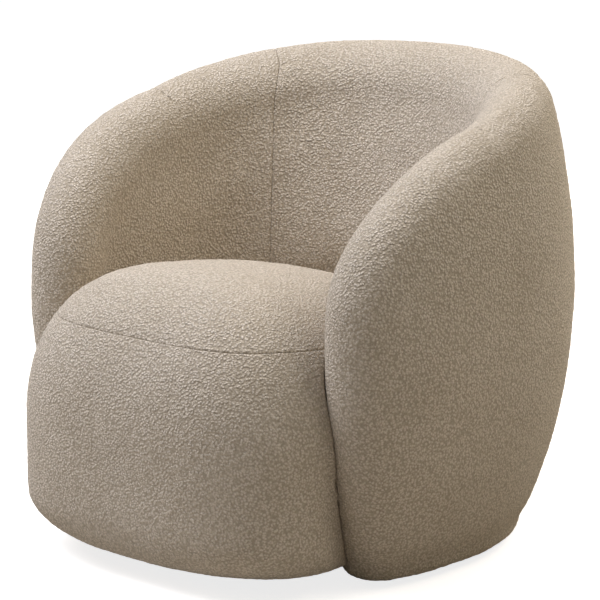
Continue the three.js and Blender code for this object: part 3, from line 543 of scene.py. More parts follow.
@dataclass(frozen=True)
class SeatForm:
    """Seat block: a rounded block that fills the tub and leans back a little.

    A place on it has a turn, from the front round the sitter's left to the back, and a lift, from
    below, through the widest line at 0, to the top at 90 degrees.
    """

    centre_y: float
    half_width: float = 0.295
    front_reach: float = 0.220
    rear_reach: float = 0.515
    widest_height: float = 0.193
    apex_height: float = 0.467
    low_height: float = 0.022
    plan_power: float = 3.28
    upper_power: float = 2.39
    lower_power: float = 6.5
    side_lower_power: float = 8.0
    side_start_turn: float = 45.0
    side_full_turn: float = 85.0
    low_plan_power: float = 2.6
    low_plan_start: float = 0.6
    tuck_angle: float = 25.0
    tuck_reach: float = 0.2380
    tuck_power: float = 30.0
    tuck_fade_height: float = 0.14
    tuck_top_height: float = 0.26
    tuck_end_turns: tuple[float, float] = (100.0, 140.0)
    tuck_least_sine: float = 0.05
    pitch_angle: float = 7.15
    pitch_distance: float = 0.110
    edge_lift_angle: float = -64.6
    seam_lift_angle: float = 37.0

    def tilted(self, from_centre: np.ndarray, z: np.ndarray) -> np.ndarray:
        """Heights after the top has dropped towards the back.

        Args:
            from_centre: Distances back from the seat's centre.
            z: Heights before the tilt.

        Returns:
            The heights.
        """
        share = np.clip((z - self.widest_height) / (self.apex_height - self.widest_height), 0.0, 1.0)
        drop = math.tan(math.radians(self.pitch_angle)) * np.maximum(0.0, from_centre + self.pitch_distance)
        return z - drop * share

    def free_reach(self, turn: np.ndarray, lift: np.ndarray, depth: float) -> tuple[np.ndarray, np.ndarray]:
        """Reach of the block where nothing stands in its way.

        Args:
            turn: Turns in radians.
            lift: Lifts in degrees, of the same shape.
            depth: Depth under the surface.

        Returns:
            The level reach from the centre, and the height before the tilt.
        """
        upper = lift > 0
        beside = smooth_step(np.degrees(turn), self.side_start_turn, self.side_full_turn)
        lower_power = self.lower_power + (self.side_lower_power - self.lower_power) * beside
        power = np.where(upper, 2.0 / self.upper_power, 2.0 / lower_power)
        level = np.maximum(0.0, np.cos(np.radians(lift))) ** power
        rise = np.abs(np.sin(np.radians(lift))) ** power
        span = np.where(upper, self.apex_height - depth - self.widest_height,
                        self.low_height + depth - self.widest_height)
        across, ahead = np.sin(turn), -np.cos(turn)
        reach_y = np.where(ahead < 0, self.front_reach, self.rear_reach) - depth
        under = np.where(upper, 0.0, smooth_step(rise, self.low_plan_start, 1.0))
        plan_power = self.plan_power + (self.low_plan_power - self.plan_power) * under
        shape = (np.abs(across / (self.half_width - depth)) ** plan_power
                 + np.abs(ahead / reach_y) ** plan_power)
        return level * shape ** (-1.0 / plan_power), self.widest_height + span * rise

    def tucked(self, turn: np.ndarray, reach: np.ndarray, z: np.ndarray) -> np.ndarray:
        """Reach drawn in low down at the sides, where the block tucks in behind the arm's front edge.

        Args:
            turn: Turns in radians.
            reach: Level reaches from the centre.
            z: Heights of the same shape.

        Returns:
            The reaches after the tuck.
        """
        toward = np.maximum(self.tuck_least_sine, np.sin(turn - math.radians(self.tuck_angle)))
        limit = self.tuck_reach / toward
        power = self.tuck_power
        drawn = (reach**-power + limit**-power) ** (-1.0 / power)
        share = 1.0 - smooth_step(z, self.tuck_fade_height, self.tuck_top_height)
        return reach + (drawn - reach) * share * (1.0 - smooth_step(np.degrees(turn), *self.tuck_end_turns))

    def points(self, turn: np.ndarray, reach: np.ndarray, z: np.ndarray) -> np.ndarray:
        """Points at turns, level reaches and heights before the tilt.

        Args:
            turn: Turns in radians.
            reach: Level reaches from the centre.
            z: Heights before the tilt.

        Returns:
            Points, with one more axis of three coordinates.
        """
        from_centre = -np.cos(turn) * reach
        return np.stack([np.sin(turn) * reach, self.centre_y + from_centre, self.tilted(from_centre, z)],
                        axis=-1)


@dataclass(frozen=True)
class Spacing:
    """How the lines of a grid are spaced between two edges, closer together beside a seam."""

    count: int
    seam_at_start: bool = False
    seam_at_end: bool = False
    seam_steps: tuple[float, ...] = (0.0005, 0.0011, 0.0019, 0.0029, 0.0042, 0.0060)
    most_share: float = 0.25
    fewest: int = 4

    def places(self, total: float) -> np.ndarray:
        """Places of the grid's lines along a length.

        Args:
            total: The length.

        Returns:
            Places from 0 to that length.
        """
        squeeze = min(1.0, self.most_share * total / self.seam_steps[-1])
        steps = np.array([0.0, *self.seam_steps]) * squeeze
        head = steps if self.seam_at_start else steps[:1]
        tail = total - (steps if self.seam_at_end else steps[:1])[::-1]
        inner = np.linspace(head[-1], tail[0], self.count + 1)[1:-1]
        return np.concatenate([head, inner, tail])

    def coarse(self, share: int) -> "Spacing":
        """The same edges with fewer lines and no closer ones."""
        return Spacing(max(self.fewest, self.count // share))


def along_lines(lines: np.ndarray, spacing: Spacing) -> tuple[np.ndarray, np.ndarray]:
    """Moves points along their lines to the spacing.

    Args:
        lines: Values by line, point and channel. The first three channels are the place.
        spacing: Where the points go.

    Returns:
        The values at the new points, and each new point's distances from both ends of its line.
    """
    moved, distances = [], []
    for line in lines:
        steps = np.linalg.norm(np.diff(line[:, :3], axis=0), axis=1)
        run = np.concatenate([[0.0], np.cumsum(steps)])
        places = spacing.places(run[-1])
        moved.append(np.stack([np.interp(places, run, channel) for channel in line.T], axis=1))
        distances.append(np.stack([places, run[-1] - places], axis=1))
    return np.array(moved), np.array(distances)


@dataclass
class Sheet:
    """A panel's grid of points, its inward directions and its distances from its four edges."""

    points: np.ndarray
    inward: np.ndarray
    reach: dict[Edge, np.ndarray]

    @classmethod
    def over(cls, surface: Callable[[float], np.ndarray], columns: Spacing, rows: Spacing) -> "Sheet":
        """Spaces a dense surface out into a panel's grid.

        Args:
            surface: Gives the dense points, by column and row, at a depth.
            columns: Spacing from the first column to the last.
            rows: Spacing from the bottom row to the top.

        Returns:
            The sheet.
        """
        dense = np.concatenate([surface(0.0), surface(INWARD_PROBE)], axis=-1)
        by_row, upright = along_lines(dense, rows)
        carried = np.concatenate([by_row, upright], axis=-1).transpose(1, 0, 2)
        by_column, level = along_lines(carried, columns)
        grid = np.concatenate([by_column, level], axis=-1).transpose(1, 0, 2)
        points, under = grid[..., :3], grid[..., 3:6]
        edges = (Edge.BOTTOM, Edge.TOP, Edge.START, Edge.END)
        reach = {edge: grid[..., channel] for channel, edge in enumerate(edges, start=6)}
        return cls(points, unit(under - points), reach)

    def mirrored(self) -> "Sheet":
        """The same panel on the other side of the chair, with its columns turned round.

        Returns:
            The other panel.
        """
        other = {Edge.START: Edge.END, Edge.END: Edge.START}
        reach = {other.get(edge, edge): values[::-1] for edge, values in self.reach.items()}
        return Sheet(self.points[::-1] * MIRROR, self.inward[::-1] * MIRROR, reach)

    def doubled(self) -> "Sheet":
        """A panel across the middle of the chair, from its left half.

        Returns:
            The whole panel.
        """
        reach = {edge: np.concatenate([values[::-1], values[1:]]) for edge, values in self.reach.items()}
        half = reach[Edge.START] + reach[Edge.END]
        from_middle = np.concatenate([-self.reach[Edge.START][::-1], self.reach[Edge.START][1:]])
        reach[Edge.START], reach[Edge.END] = half + from_middle, half - from_middle
        return Sheet(across(self.points), across(self.inward), reach)

    def shares(self) -> tuple[np.ndarray, np.ndarray]:
        """Each point's place between the edges, across and upward, from 0 to 1.

        Returns:
            The places across and the places upward.
        """
        def share(first: Edge, last: Edge) -> np.ndarray:
            """Places from one edge to the one across."""
            return self.reach[first] / np.maximum(self.reach[first] + self.reach[last], TINY)
        return share(Edge.START, Edge.END), share(Edge.BOTTOM, Edge.TOP)


@dataclass(frozen=True)
class Seam:
    """A sewn line: how deep the cloth dips to it, over what width, and whether its loops hide it."""

    depth: float
    width: float
    flange: float = 0.005
    quiet: bool = False

    def dip(self, distance: np.ndarray) -> np.ndarray:
        """Depth of the cloth at distances from the seam, round like a drawn-in edge."""
        share = 1.0 - np.clip(distance / self.width, 0.0, 1.0)
        return self.depth * (1.0 - np.sqrt(np.maximum(0.0, 1.0 - share**2)))


@dataclass(frozen=True)
class Lumps:
    """Unevenness of the cloth: small lumps of its loops and slow waves of the foam below."""

    loop_length: float = 0.0080
    loop_height: float = 0.00095
    wave_length: float = 0.070
    wave_height: float = 0.0010
    pucker_length: float = 0.016
    pucker_height: float = 0.0006
    pucker_reach: float = 0.012
    shifts: tuple[float, ...] = (3.1, 17.7, 41.3)

    def height(self, points: np.ndarray, seam_distance: np.ndarray) -> np.ndarray:
        """Outward height of the cloth.

        Args:
            points: Points of the cloth, in one list.
            seam_distance: Each point's distance from the nearest seam.

        Returns:
            One height for each point.
        """
        near = np.exp(-seam_distance / self.pucker_reach)
        calm = smooth_step(seam_distance, 0.0, self.pucker_reach)
        layers = ((self.loop_height, self.loop_length, calm), (self.wave_height, self.wave_length, calm),
                  (self.pucker_height, self.pucker_length, near))
        height = np.zeros(len(points))
        for (most, length, share), shift in zip(layers, self.shifts):
            scaled = points / length + shift
            height += most * np.array([noise.noise(Vector(place)) for place in scaled]) * share
        return height


@dataclass(frozen=True)
class Filling:
    """How the foam presses the cloth out between its seams, by simulation on a coarse grid."""

    pressure: float = 4.0
    frames: int = 14
    cap: float = 0.003
    mass: float = 0.35
    stiffness: float = 18.0
    bending: float = 0.6
    quality: int = 6
    coarse_share: int = 5

    def laid(self, dense: Callable[[float], np.ndarray], columns: Spacing, rows: Spacing,
             whole: bool = False, closed: bool = False) -> tuple[Sheet, np.ndarray | None]:
        """Lays a panel's grid over its dense surface and blows a coarser one out.

        Args:
            dense: Gives the dense points, by column and row, at a depth.
            columns: Spacing across.
            rows: Spacing upward.
            whole: Whether the surface is the left half of a panel across the middle.
            closed: Whether the last column is the first one.
        """
        fine = Sheet.over(dense, columns, rows)
        fine = fine.doubled() if whole else fine
        coarse = Sheet.over(dense, columns.coarse(self.coarse_share), rows.coarse(self.coarse_share))
        return fine, self.swell(coarse.doubled() if whole else coarse, closed)

    def swell(self, sheet: Sheet, closed: bool) -> np.ndarray:
        """Blows a coarse sheet out, with its edges held.

        Args:
            sheet: A coarse sheet.
            closed: Whether its last column is its first one, and its top row may be one point.

        Returns:
            Outward movement by column and row, no more than the cap.
        """
        index = numbers(sheet.points)
        pointed = closed and np.ptp(sheet.points[:, -1], axis=0).max() < SAME_PLACE
        held = np.zeros(index.shape, bool)
        held[:, 0], held[:, -1] = True, not pointed
        held[[0, -1]] |= not closed
        if closed:
            index[-1] = index[0]
        if pointed:
            index[:, -1] = index[0, -1]
        moved = self.simulated(sheet.points.reshape(-1, 3), quads(index), index[held])
        outward = -(moved.reshape(sheet.points.shape) - sheet.points) * sheet.inward
        push = outward.sum(axis=-1).ravel()[index]
        return self.cap * np.tanh(np.maximum(push, 0.0) / self.cap)

    def simulated(self, points: np.ndarray, faces: np.ndarray, held: np.ndarray) -> np.ndarray:
        """Runs the cloth.

        Args:
            points: Places of the points, in one list.
            faces: Corners of the faces.
            held: Numbers of the points that stay where they are.

        Returns:
            The points' places after the last frame.
        """
        mesh = bpy.data.meshes.new("trial_cloth")
        mesh.from_pydata(points.tolist(), [], faces.tolist())
        cloth_object = bpy.data.objects.new("trial_cloth", mesh)
        bpy.context.scene.collection.objects.link(cloth_object)
        pins = cloth_object.vertex_groups.new(name="held")
        loose = set(range(len(points))) - set(faces.ravel().tolist())
        pins.add(sorted(loose | set(held.tolist())), 1.0, "REPLACE")
        cloth = cloth_object.modifiers.new("cloth", "CLOTH")
        settings = cloth.settings
        settings.quality = self.quality
        settings.mass = self.mass
        settings.tension_stiffness = self.stiffness
        settings.compression_stiffness = self.stiffness
        settings.bending_stiffness = self.bending
        settings.use_pressure = True
        settings.uniform_pressure_force = self.pressure
        settings.vertex_group_mass = pins.name
        settings.effector_weights.gravity = 0.0
        cloth.point_cache.frame_start = 1
        cloth.point_cache.frame_end = self.frames
        scene = bpy.context.scene
        for number in range(1, self.frames + 1):
            scene.frame_set(number)
        shown = cloth_object.evaluated_get(bpy.context.evaluated_depsgraph_get())
        moved = np.empty(len(points) * 3, np.float32)
        shown.data.vertices.foreach_get("co", moved)
        bpy.data.objects.remove(cloth_object)
        bpy.data.meshes.remove(mesh)
        scene.frame_set(1)
        return moved.reshape(-1, 3).astype(float)


def spread_field(values: np.ndarray, across: np.ndarray, upward: np.ndarray) -> np.ndarray:
    """Reads a coarse, even field of values at shares of its two sides, softened between.

    Args:
        values: The field, by column and row.
        across: Places across, from 0 to 1.
        upward: Places upward, from 0 to 1.

    Returns:
        The values there.
    """
    columns, rows = (size - 1 for size in values.shape)
    x, y = np.clip(across, 0, 1) * columns, np.clip(upward, 0, 1) * rows
    left, low = np.minimum(x.astype(int), columns - 1), np.minimum(y.astype(int), rows - 1)
    u, v = smooth_step(x - left, 0.0, 1.0), smooth_step(y - low, 0.0, 1.0)
    bottom = values[left, low] * (1 - u) + values[left + 1, low] * u
    top = values[left, low + 1] * (1 - u) + values[left + 1, low + 1] * u
    return bottom * (1 - v) + top * v


def numbers(grid: np.ndarray) -> np.ndarray:
    """Numbers of a grid's points, by column and row."""
    return np.arange(grid.shape[0] * grid.shape[1]).reshape(grid.shape[:2])


def quads(index: np.ndarray) -> np.ndarray:
    """Faces of a grid of point numbers, by column and row, with their fronts outward."""
    corners = (index[:-1, :-1], index[1:, :-1], index[1:, 1:], index[:-1, 1:])
    return np.stack([corner.ravel() for corner in corners], axis=-1)


def mesh_object(name: str, points: np.ndarray, faces: Sequence[Sequence[int]]) -> bpy.types.Object:
    """Makes a smooth mesh object.

    Args:
        name: The piece's name.
        points: Its points, in one list.
        faces: The corners of its faces.

    Returns:
        The object, linked to the scene.
    """
    mesh = bpy.data.meshes.new(name)
    mesh.from_pydata(points.tolist(), [], [list(face) for face in faces])
    work = bmesh.new()
    work.from_mesh(mesh)
    bmesh.ops.remove_doubles(work, verts=work.verts, dist=MERGE_DISTANCE)
    bmesh.ops.dissolve_degenerate(work, edges=work.edges, dist=LEAST_EDGE)
    work.to_mesh(mesh)
    work.free()
    mesh.shade_smooth()
    piece = bpy.data.objects.new(name, mesh)
    bpy.context.scene.collection.objects.link(piece)
    return piece


def grid_object(name: str, grid: np.ndarray, turned: bool = False) -> bpy.types.Object:
    """Makes a smooth mesh object of a grid, with its fronts turned the other way if asked."""
    index = numbers(grid)
    return mesh_object(name, grid.reshape(-1, 3), quads(index[:, ::-1] if turned else index))


class NodeBoard:
    """A tree of shader nodes, laid out as they are added."""

    row_length: int = 9
    step: tuple[int, int] = (-220, -260)
    mix_inputs: tuple[int, int, int] = (0, 6, 7)
    mix_output: int = 2

    def __init__(self, tree: bpy.types.NodeTree) -> None:
        """Starts on a tree."""
        self.tree = tree
        self.count = 0

    def add(self, kind: str, settings: dict[str, object] | None = None, **sockets: object) -> bpy.types.Node:
        """Adds a node.

        Args:
            kind: The node's type.
            settings: Values of its own properties.
            sockets: Values or linked outputs for its inputs, by name with _ for a space.

        Returns:
            The node.
        """
        node = self.tree.nodes.new(kind)
        down, across = divmod(self.count, self.row_length)
        node.location = (self.step[0] * (across + 1), self.step[1] * down)
        self.count += 1
        for key, value in (settings or {}).items():
            setattr(node, key, value)
        for key, value in sockets.items():
            self.feed(node.inputs[key.replace("_", " ")], value)
        return node

    def feed(self, socket: bpy.types.NodeSocket, value: object) -> None:
        """Sets an input, or links an output to it.

        Args:
            socket: The input.
            value: A value, or another node's output.
        """
        if isinstance(value, bpy.types.NodeSocket):
            self.tree.links.new(value, socket)
        else:
            socket.default_value = value

    def math(self, operation: str, first: object, second: object, kind: str = "") -> bpy.types.NodeSocket:
        """Result of a calculation on two values or outputs.

        Args:
            operation: Name of the calculation.
            first: A value or output.
            second: Another.
            kind: Word in the node's type, "Vector" for vectors.

        Returns:
            The output.
        """
        node = self.add(f"ShaderNode{kind}Math", {"operation": operation})
        self.feed(node.inputs[0], first)
        self.feed(node.inputs[1], second)
        return node.outputs[0]

    def vector_math(self, operation: str, first: object, second: object) -> bpy.types.NodeSocket:
        """Result of a calculation on two vectors."""
        return self.math(operation, first, second, "Vector")

    def place(self) -> bpy.types.NodeSocket:
        """The point's own place on the object, in metres."""
        return self.add("ShaderNodeTexCoord").outputs["Object"]

    def grain(self, place: object, scale: float, detail: float = 2.0) -> bpy.types.Node:
        """A noise with so many waves to the metre."""
        return self.add("ShaderNodeTexNoise", Vector=place, Scale=scale, Detail=detail)

    def ramp(self, value: object, stops: Sequence[tuple[float, Colour]]) -> bpy.types.NodeSocket:
        """Colours by a value from 0 to 1.

        Args:
            value: A value or output.
            stops: Colours with their positions, in order.

        Returns:
            The colour's output.
        """
        node = self.add("ShaderNodeValToRGB", Fac=value)
        elements = node.color_ramp.elements
        while len(elements) < len(stops):
            elements.new(0.5)
        for element, (position, colour) in zip(elements, stops):
            element.position = position
            element.color = (*linear(colour), 1.0)
        return node.outputs["Color"]

    def mix(self, share: object, first: object, second: object, blend: str) -> bpy.types.NodeSocket:
        """Mixes two colours.

        Args:
            share: How much of the mix is used.
            first: A colour.
            second: Another.
            blend: How the second acts on the first.

        Returns:
            The colour's output.
        """
        node = self.add("ShaderNodeMix", {"data_type": "RGBA", "blend_type": blend})
        for number, value in zip(self.mix_inputs, (share, first, second)):
            self.feed(node.inputs[number], value)
        return node.outputs[self.mix_output]


class MaterialBoard(NodeBoard):
    """One material's nodes."""

    def __init__(self, name: str) -> None:
        """Starts a material with its shader.

        Args:
            name: The material's name.
        """
        self.material = bpy.data.materials.new(name)
        self.material.use_nodes = True
        super().__init__(self.material.node_tree)
        self.shader = next(node for node in self.tree.nodes if node.type == "BSDF_PRINCIPLED")

    def bump(self, height: object, distance: float, strength: float = 1.0) -> None:
        """Gives the shader a relief."""
        node = self.add("ShaderNodeBump", Height=height, Distance=distance, Strength=strength)
        self.feed(self.shader.inputs["Normal"], node.outputs[0])

    def finish(self, colour: object, **values: object) -> bpy.types.Material:
        """Feeds the shader and gives the material back.

        Args:
            colour: The base colour, as an output or as red, green and blue.
            values: Other shader inputs by name, with _ for a space.

        Returns:
            The material.
        """
        if isinstance(colour, tuple):
            colour = (*linear(colour), 1.0)
        self.feed(self.shader.inputs["Base Color"], colour)
        for key, value in values.items():
            self.feed(self.shader.inputs[key.replace("_", " ")], value)
        return self.material


def linear(colour: Sequence[float]) -> tuple[float, ...]:
    """Turns display values from 0 to 255 into linear light."""
    shares = [value / 255.0 for value in colour]
    return tuple(s / 12.92 if s <= 0.04045 else ((s + 0.055) / 1.055) ** 2.4 for s in shares)


@dataclass(frozen=True)
class Boucle:
    """Looped cloth: small uneven knots on a soft curly ground, with a soft sheen; its colour is painted
    darker in the hollows (painted shade) and lighter on the knots' tops (painted highlight).
    """

    name: str = "boucle"
    # hollow colour: painted shade between the loops; knot colour: painted highlight on the loops' tops; body:
    # the cloth's own colour
    hollow_painted_shade: Colour = (173, 159, 137)
    body: Colour = (204, 189, 166)
    knot_painted_highlight: Colour = (227, 214, 195)
    knots_per_metre: float = 255.0
    curls_per_metre: float = 350.0
    fuzz_per_metre: float = 900.0
    knot_share: float = 0.46
    fuzz_share: float = 0.18
    knot_reach: float = 0.78
    warp: float = 0.0024
    relief: float = 0.0044
    height_stops: tuple[float, float, float] = (0.24, 0.48, 0.74)
    wander_share: float = 0.7
    clouds_per_metre: float = 9.0
    clouds_detail: float = 3.0
    clouds: tuple[tuple[float, Colour], ...] = ((0.3, (248, 247, 245)), (0.7, (255, 255, 255)))
    sheen: Colour = (236, 228, 218)
    sheen_weight: float = 0.20
    sheen_roughness: float = 0.5
    roughness: float = 0.95
    shine: float = 0.12

    def height(self, board: MaterialBoard, place: bpy.types.NodeSocket) -> bpy.types.NodeSocket:
        """Height of the loops: knots, the curls between them and fuzz on both.

        Args:
            board: The material's nodes.
            place: The point's place.

        Returns:
            The height, from 0 to 1.
        """
        wander = board.grain(place, self.knots_per_metre * self.wander_share).outputs["Color"]
        shift = board.vector_math("MULTIPLY", board.vector_math("SUBTRACT", wander, (0.5, 0.5, 0.5)),
                                  (self.warp,) * 3)
        warped = board.vector_math("ADD", place, shift)
        cells = board.add("ShaderNodeTexVoronoi", Vector=warped, Scale=self.knots_per_metre)
        knots = board.add("ShaderNodeMapRange", {"interpolation_type": "SMOOTHSTEP"},
                          Value=cells.outputs["Distance"], From_Min=0.0, From_Max=self.knot_reach,
                          To_Min=self.knot_share, To_Max=0.0).outputs["Result"]
        curls = board.grain(warped, self.curls_per_metre, 1.0).outputs["Fac"]
        fuzz = board.grain(place, self.fuzz_per_metre, 1.0).outputs["Fac"]
        curls = board.math("MULTIPLY", curls, 1.0 - self.knot_share - self.fuzz_share)
        curls = board.math("ADD", curls, board.math("MULTIPLY", fuzz, self.fuzz_share))
        return board.math("ADD", knots, curls)

    def material(self) -> bpy.types.Material:
        """Makes the material.

        Returns:
            The material.
        """
        board = MaterialBoard(self.name)
        place = board.place()
        height = self.height(board, place)
        # colour by loop height: painted shade in the hollows, painted highlight on the knots' tops
        colour = board.ramp(height, tuple(zip(self.height_stops, (self.hollow_painted_shade, self.body, self.knot_painted_highlight))))
        cloudy = board.grain(place, self.clouds_per_metre, self.clouds_detail).outputs["Fac"]
        colour = board.mix(1.0, colour, board.ramp(cloudy, self.clouds), "MULTIPLY")
        board.bump(height, self.relief)
        return board.finish(colour, Roughness=self.roughness, Specular_IOR_Level=self.shine,
                            Sheen_Weight=self.sheen_weight, Sheen_Roughness=self.sheen_roughness,
                            Sheen_Tint=(*linear(self.sheen), 1.0))


@dataclass(frozen=True)
class PlainFinish:
    """A dull finish whose colour and relief follow one fine pattern."""

    name: str
    dark: Colour
    pale: Colour
    per_metre: float
    roughness: float = 0.9
    pattern: Pattern = Pattern.GRAIN
    settings: tuple[tuple[str, float], ...] = ()
    stops: tuple[float, float] = (0.35, 0.65)
    relief: float = 0.0004
    strength: float = 0.5
    stretch: tuple[float, float, float] = (1.0, 1.0, 1.0)
    sheen: float = 0.0

    def material(self) -> bpy.types.Material:
        """Makes the material.

        Returns:
            The material.
        """
        board = MaterialBoard(self.name)
        kind, output = self.pattern.value
        place = board.vector_math("MULTIPLY", board.place(), self.stretch)
        value = board.add(kind, Vector=place, Scale=self.per_metre, **dict(self.settings)).outputs[output]
        board.bump(value, self.relief, self.strength)
        colour = board.ramp(value, tuple(zip(self.stops, (self.dark, self.pale))))
        return board.finish(colour, Roughness=self.roughness, Sheen_Weight=self.sheen)


@dataclass(frozen=True)
class Foam(PlainFinish):
    """Open-cell foam: pale, with fine pores."""

    name: str = "foam"
    dark: Colour = (206, 192, 146)
    pale: Colour = (233, 223, 184)
    per_metre: float = 900.0
    pattern: Pattern = Pattern.PORES
    stops: tuple[float, float] = (0.15, 0.5)
    relief: float = 0.0006
    strength: float = 0.7
    roughness: float = 0.92


@dataclass(frozen=True)
class Fibre(PlainFinish):
    """White wadding and felt: tangled fine fibres."""

    name: str = "fibre"
    dark: Colour = (214, 212, 206)
    pale: Colour = (242, 241, 236)
    per_metre: float = 420.0
    settings: tuple[tuple[str, float], ...] = (("Detail", 8.0),)
    relief: float = 0.0015
    strength: float = 0.8
    roughness: float = 0.97
    sheen: float = 0.2


@dataclass(frozen=True)
class Plywood(PlainFinish):
    """Raw birch plywood: long grain with a few darker streaks."""

    name: str = "plywood"
    dark: Colour = (170, 128, 84)
    pale: Colour = (214, 178, 132)
    per_metre: float = 3.0
    stretch: tuple[float, float, float] = (6.0, 60.0, 60.0)
    settings: tuple[tuple[str, float], ...] = (("Detail", 6.0),)
    stops: tuple[float, float] = (0.32, 0.62)
    roughness: float = 0.68


@dataclass(frozen=True)
class LiningBoard(PlainFinish):
    """Thin lining board: brown and fibrous."""

    name: str = "lining_board"
    dark: Colour = (122, 96, 68)
    pale: Colour = (150, 122, 90)
    per_metre: float = 260.0
    settings: tuple[tuple[str, float], ...] = (("Detail", 6.0),)
    roughness: float = 0.85


@dataclass(frozen=True)
class Webbing(PlainFinish):
    """Elastic webbing: a tight dark weave with pale rubber threads."""

    name: str = "webbing"
    dark: Colour = (42, 42, 44)
    pale: Colour = (88, 88, 90)
    per_metre: float = 620.0
    pattern: Pattern = Pattern.WEAVE
    stops: tuple[float, float] = (0.0, 1.0)
    relief: float = 0.0003
    strength: float = 0.6


@dataclass(frozen=True)
class DustCloth(PlainFinish):
    """Black non-woven dust cloth with a fine embossed dot."""

    name: str = "dust_cloth"
    dark: Colour = (24, 24, 26)
    pale: Colour = (46, 46, 48)
    per_metre: float = 900.0
    pattern: Pattern = Pattern.PORES
    settings: tuple[tuple[str, float], ...] = (("Randomness", 0.2),)
    stops: tuple[float, float] = (0.2, 0.6)
    relief: float = 0.0003
    strength: float = 0.6
    roughness: float = 0.93
    sheen: float = 0.1


@dataclass(frozen=True)
class Nylon(PlainFinish):
    """Black moulded nylon with a fine grain."""

    name: str = "nylon"
    dark: Colour = (38, 38, 40)
    pale: Colour = (45.6, 45.6, 48)
    per_metre: float = 1200.0
    stops: tuple[float, float] = (0.3, 0.7)
    relief: float = 0.0002
    strength: float = 0.4
    roughness: float = 0.5


@dataclass(frozen=True)
class ZincSteel:
    """Zinc-plated steel with a fine cloudy polish."""

    name: str = "zinc_steel"
    colour: Colour = (176, 180, 186)
    clouds_per_metre: float = 160.0
    clouds_detail: float = 4.0
    roughness: float = 0.22
    roughness_range: float = 0.25

    def material(self) -> bpy.types.Material:
        """Makes the material.

        Returns:
            The material.
        """
        board = MaterialBoard(self.name)
        cloud = board.grain(board.place(), self.clouds_per_metre, self.clouds_detail).outputs["Fac"]
        rough = board.math("ADD", board.math("MULTIPLY", cloud, self.roughness_range), self.roughness)
        return board.finish(self.colour, Roughness=rough, Metallic=1.0)


def dress(piece: bpy.types.Object, material: bpy.types.Material) -> None:
    """Gives a piece its only material."""
    piece.data.materials.clear()
    piece.data.materials.append(material)


def settle(piece: bpy.types.Object, node: str, material: bpy.types.Material) -> None:
    """Dresses a new piece and sets it in the frame in place of its node.

    Args:
        piece: The piece.
        node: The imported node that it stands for.
        material: Its material.
    """
    dress(piece, material)
    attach(piece, "root")
    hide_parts(node)
    log.info("%s: %d faces", piece.name, len(piece.data.polygons))


def set_foam(name: str, near: np.ndarray, far: np.ndarray, material: bpy.types.Material) -> None:
    """Closes a foam between two grids, the near one outermost, and sets it in the frame.

    Args:
        name: The piece's name, and the node's that it stands for.
        near: Points of the face under the cloth, by column and row.
        far: Points of the face towards the frame.
        material: The foam's material.
    """
    index = numbers(near)
    back = index + index.size
    rims = ((index[:, 0], back[:, 0]), (back[:, -1], index[:, -1]),
            (back[0], index[0]), (index[-1], back[-1]))
    strips = [quads(np.stack(rim, axis=1)[:, ::-1]) for rim in rims]
    faces = np.concatenate([quads(index), quads(back[:, ::-1]), *strips])
    pad = mesh_object(name, np.concatenate([near.reshape(-1, 3), far.reshape(-1, 3)]), faces)
    settle(pad, name, material)


@dataclass
class ClothPanel:
    """One sewn panel of looped cloth."""

    name: str
    sheet: Sheet
    seams: dict[Edge, Seam]
    swell: np.ndarray | None = None
    lumps: Lumps = Lumps()
    fill: float = 0.8
    farthest: float = 1.0

    def build(self, material: bpy.types.Material) -> None:
        """Shapes the panel and sets it in the frame.

        Args:
            material: The cloth's material.
        """
        sheet = self.sheet
        shape = sheet.points.shape[:2]
        nearest, dip = np.full(shape, self.farthest), np.zeros(shape)
        for edge, seam in self.seams.items():
            dip = np.maximum(dip, seam.dip(sheet.reach[edge]))
            if not seam.quiet:
                nearest = np.minimum(nearest, sheet.reach[edge])
        height = self.lumps.height(sheet.points.reshape(-1, 3), nearest.ravel()).reshape(shape)
        if self.swell is not None:
            height += spread_field(self.swell, *sheet.shares())
        points = self.with_flanges(sheet.points + sheet.inward * (dip - height)[..., None])
        piece = grid_object(self.name, points)
        settle(piece, self.name, material)

    def with_flanges(self, points: np.ndarray) -> np.ndarray:
        """Turns the cloth in at each seam with one more line of points, by column and row.

        Args:
            points: Points by column and row.

        Returns:
            The same with the turned lines added.
        """
        inward = self.sheet.inward
        for edge in Edge:
            if edge not in self.seams:
                continue
            axis, at_end = edge.value
            way = np.take(inward, [-1 if at_end else 0], axis=axis)
            turned = np.take(points, [-1 if at_end else 0], axis=axis) + way * self.seams[edge].flange
            points = np.concatenate([points, turned] if at_end else [turned, points], axis=axis)
            inward = np.concatenate([inward, way] if at_end else [way, inward], axis=axis)
        return points


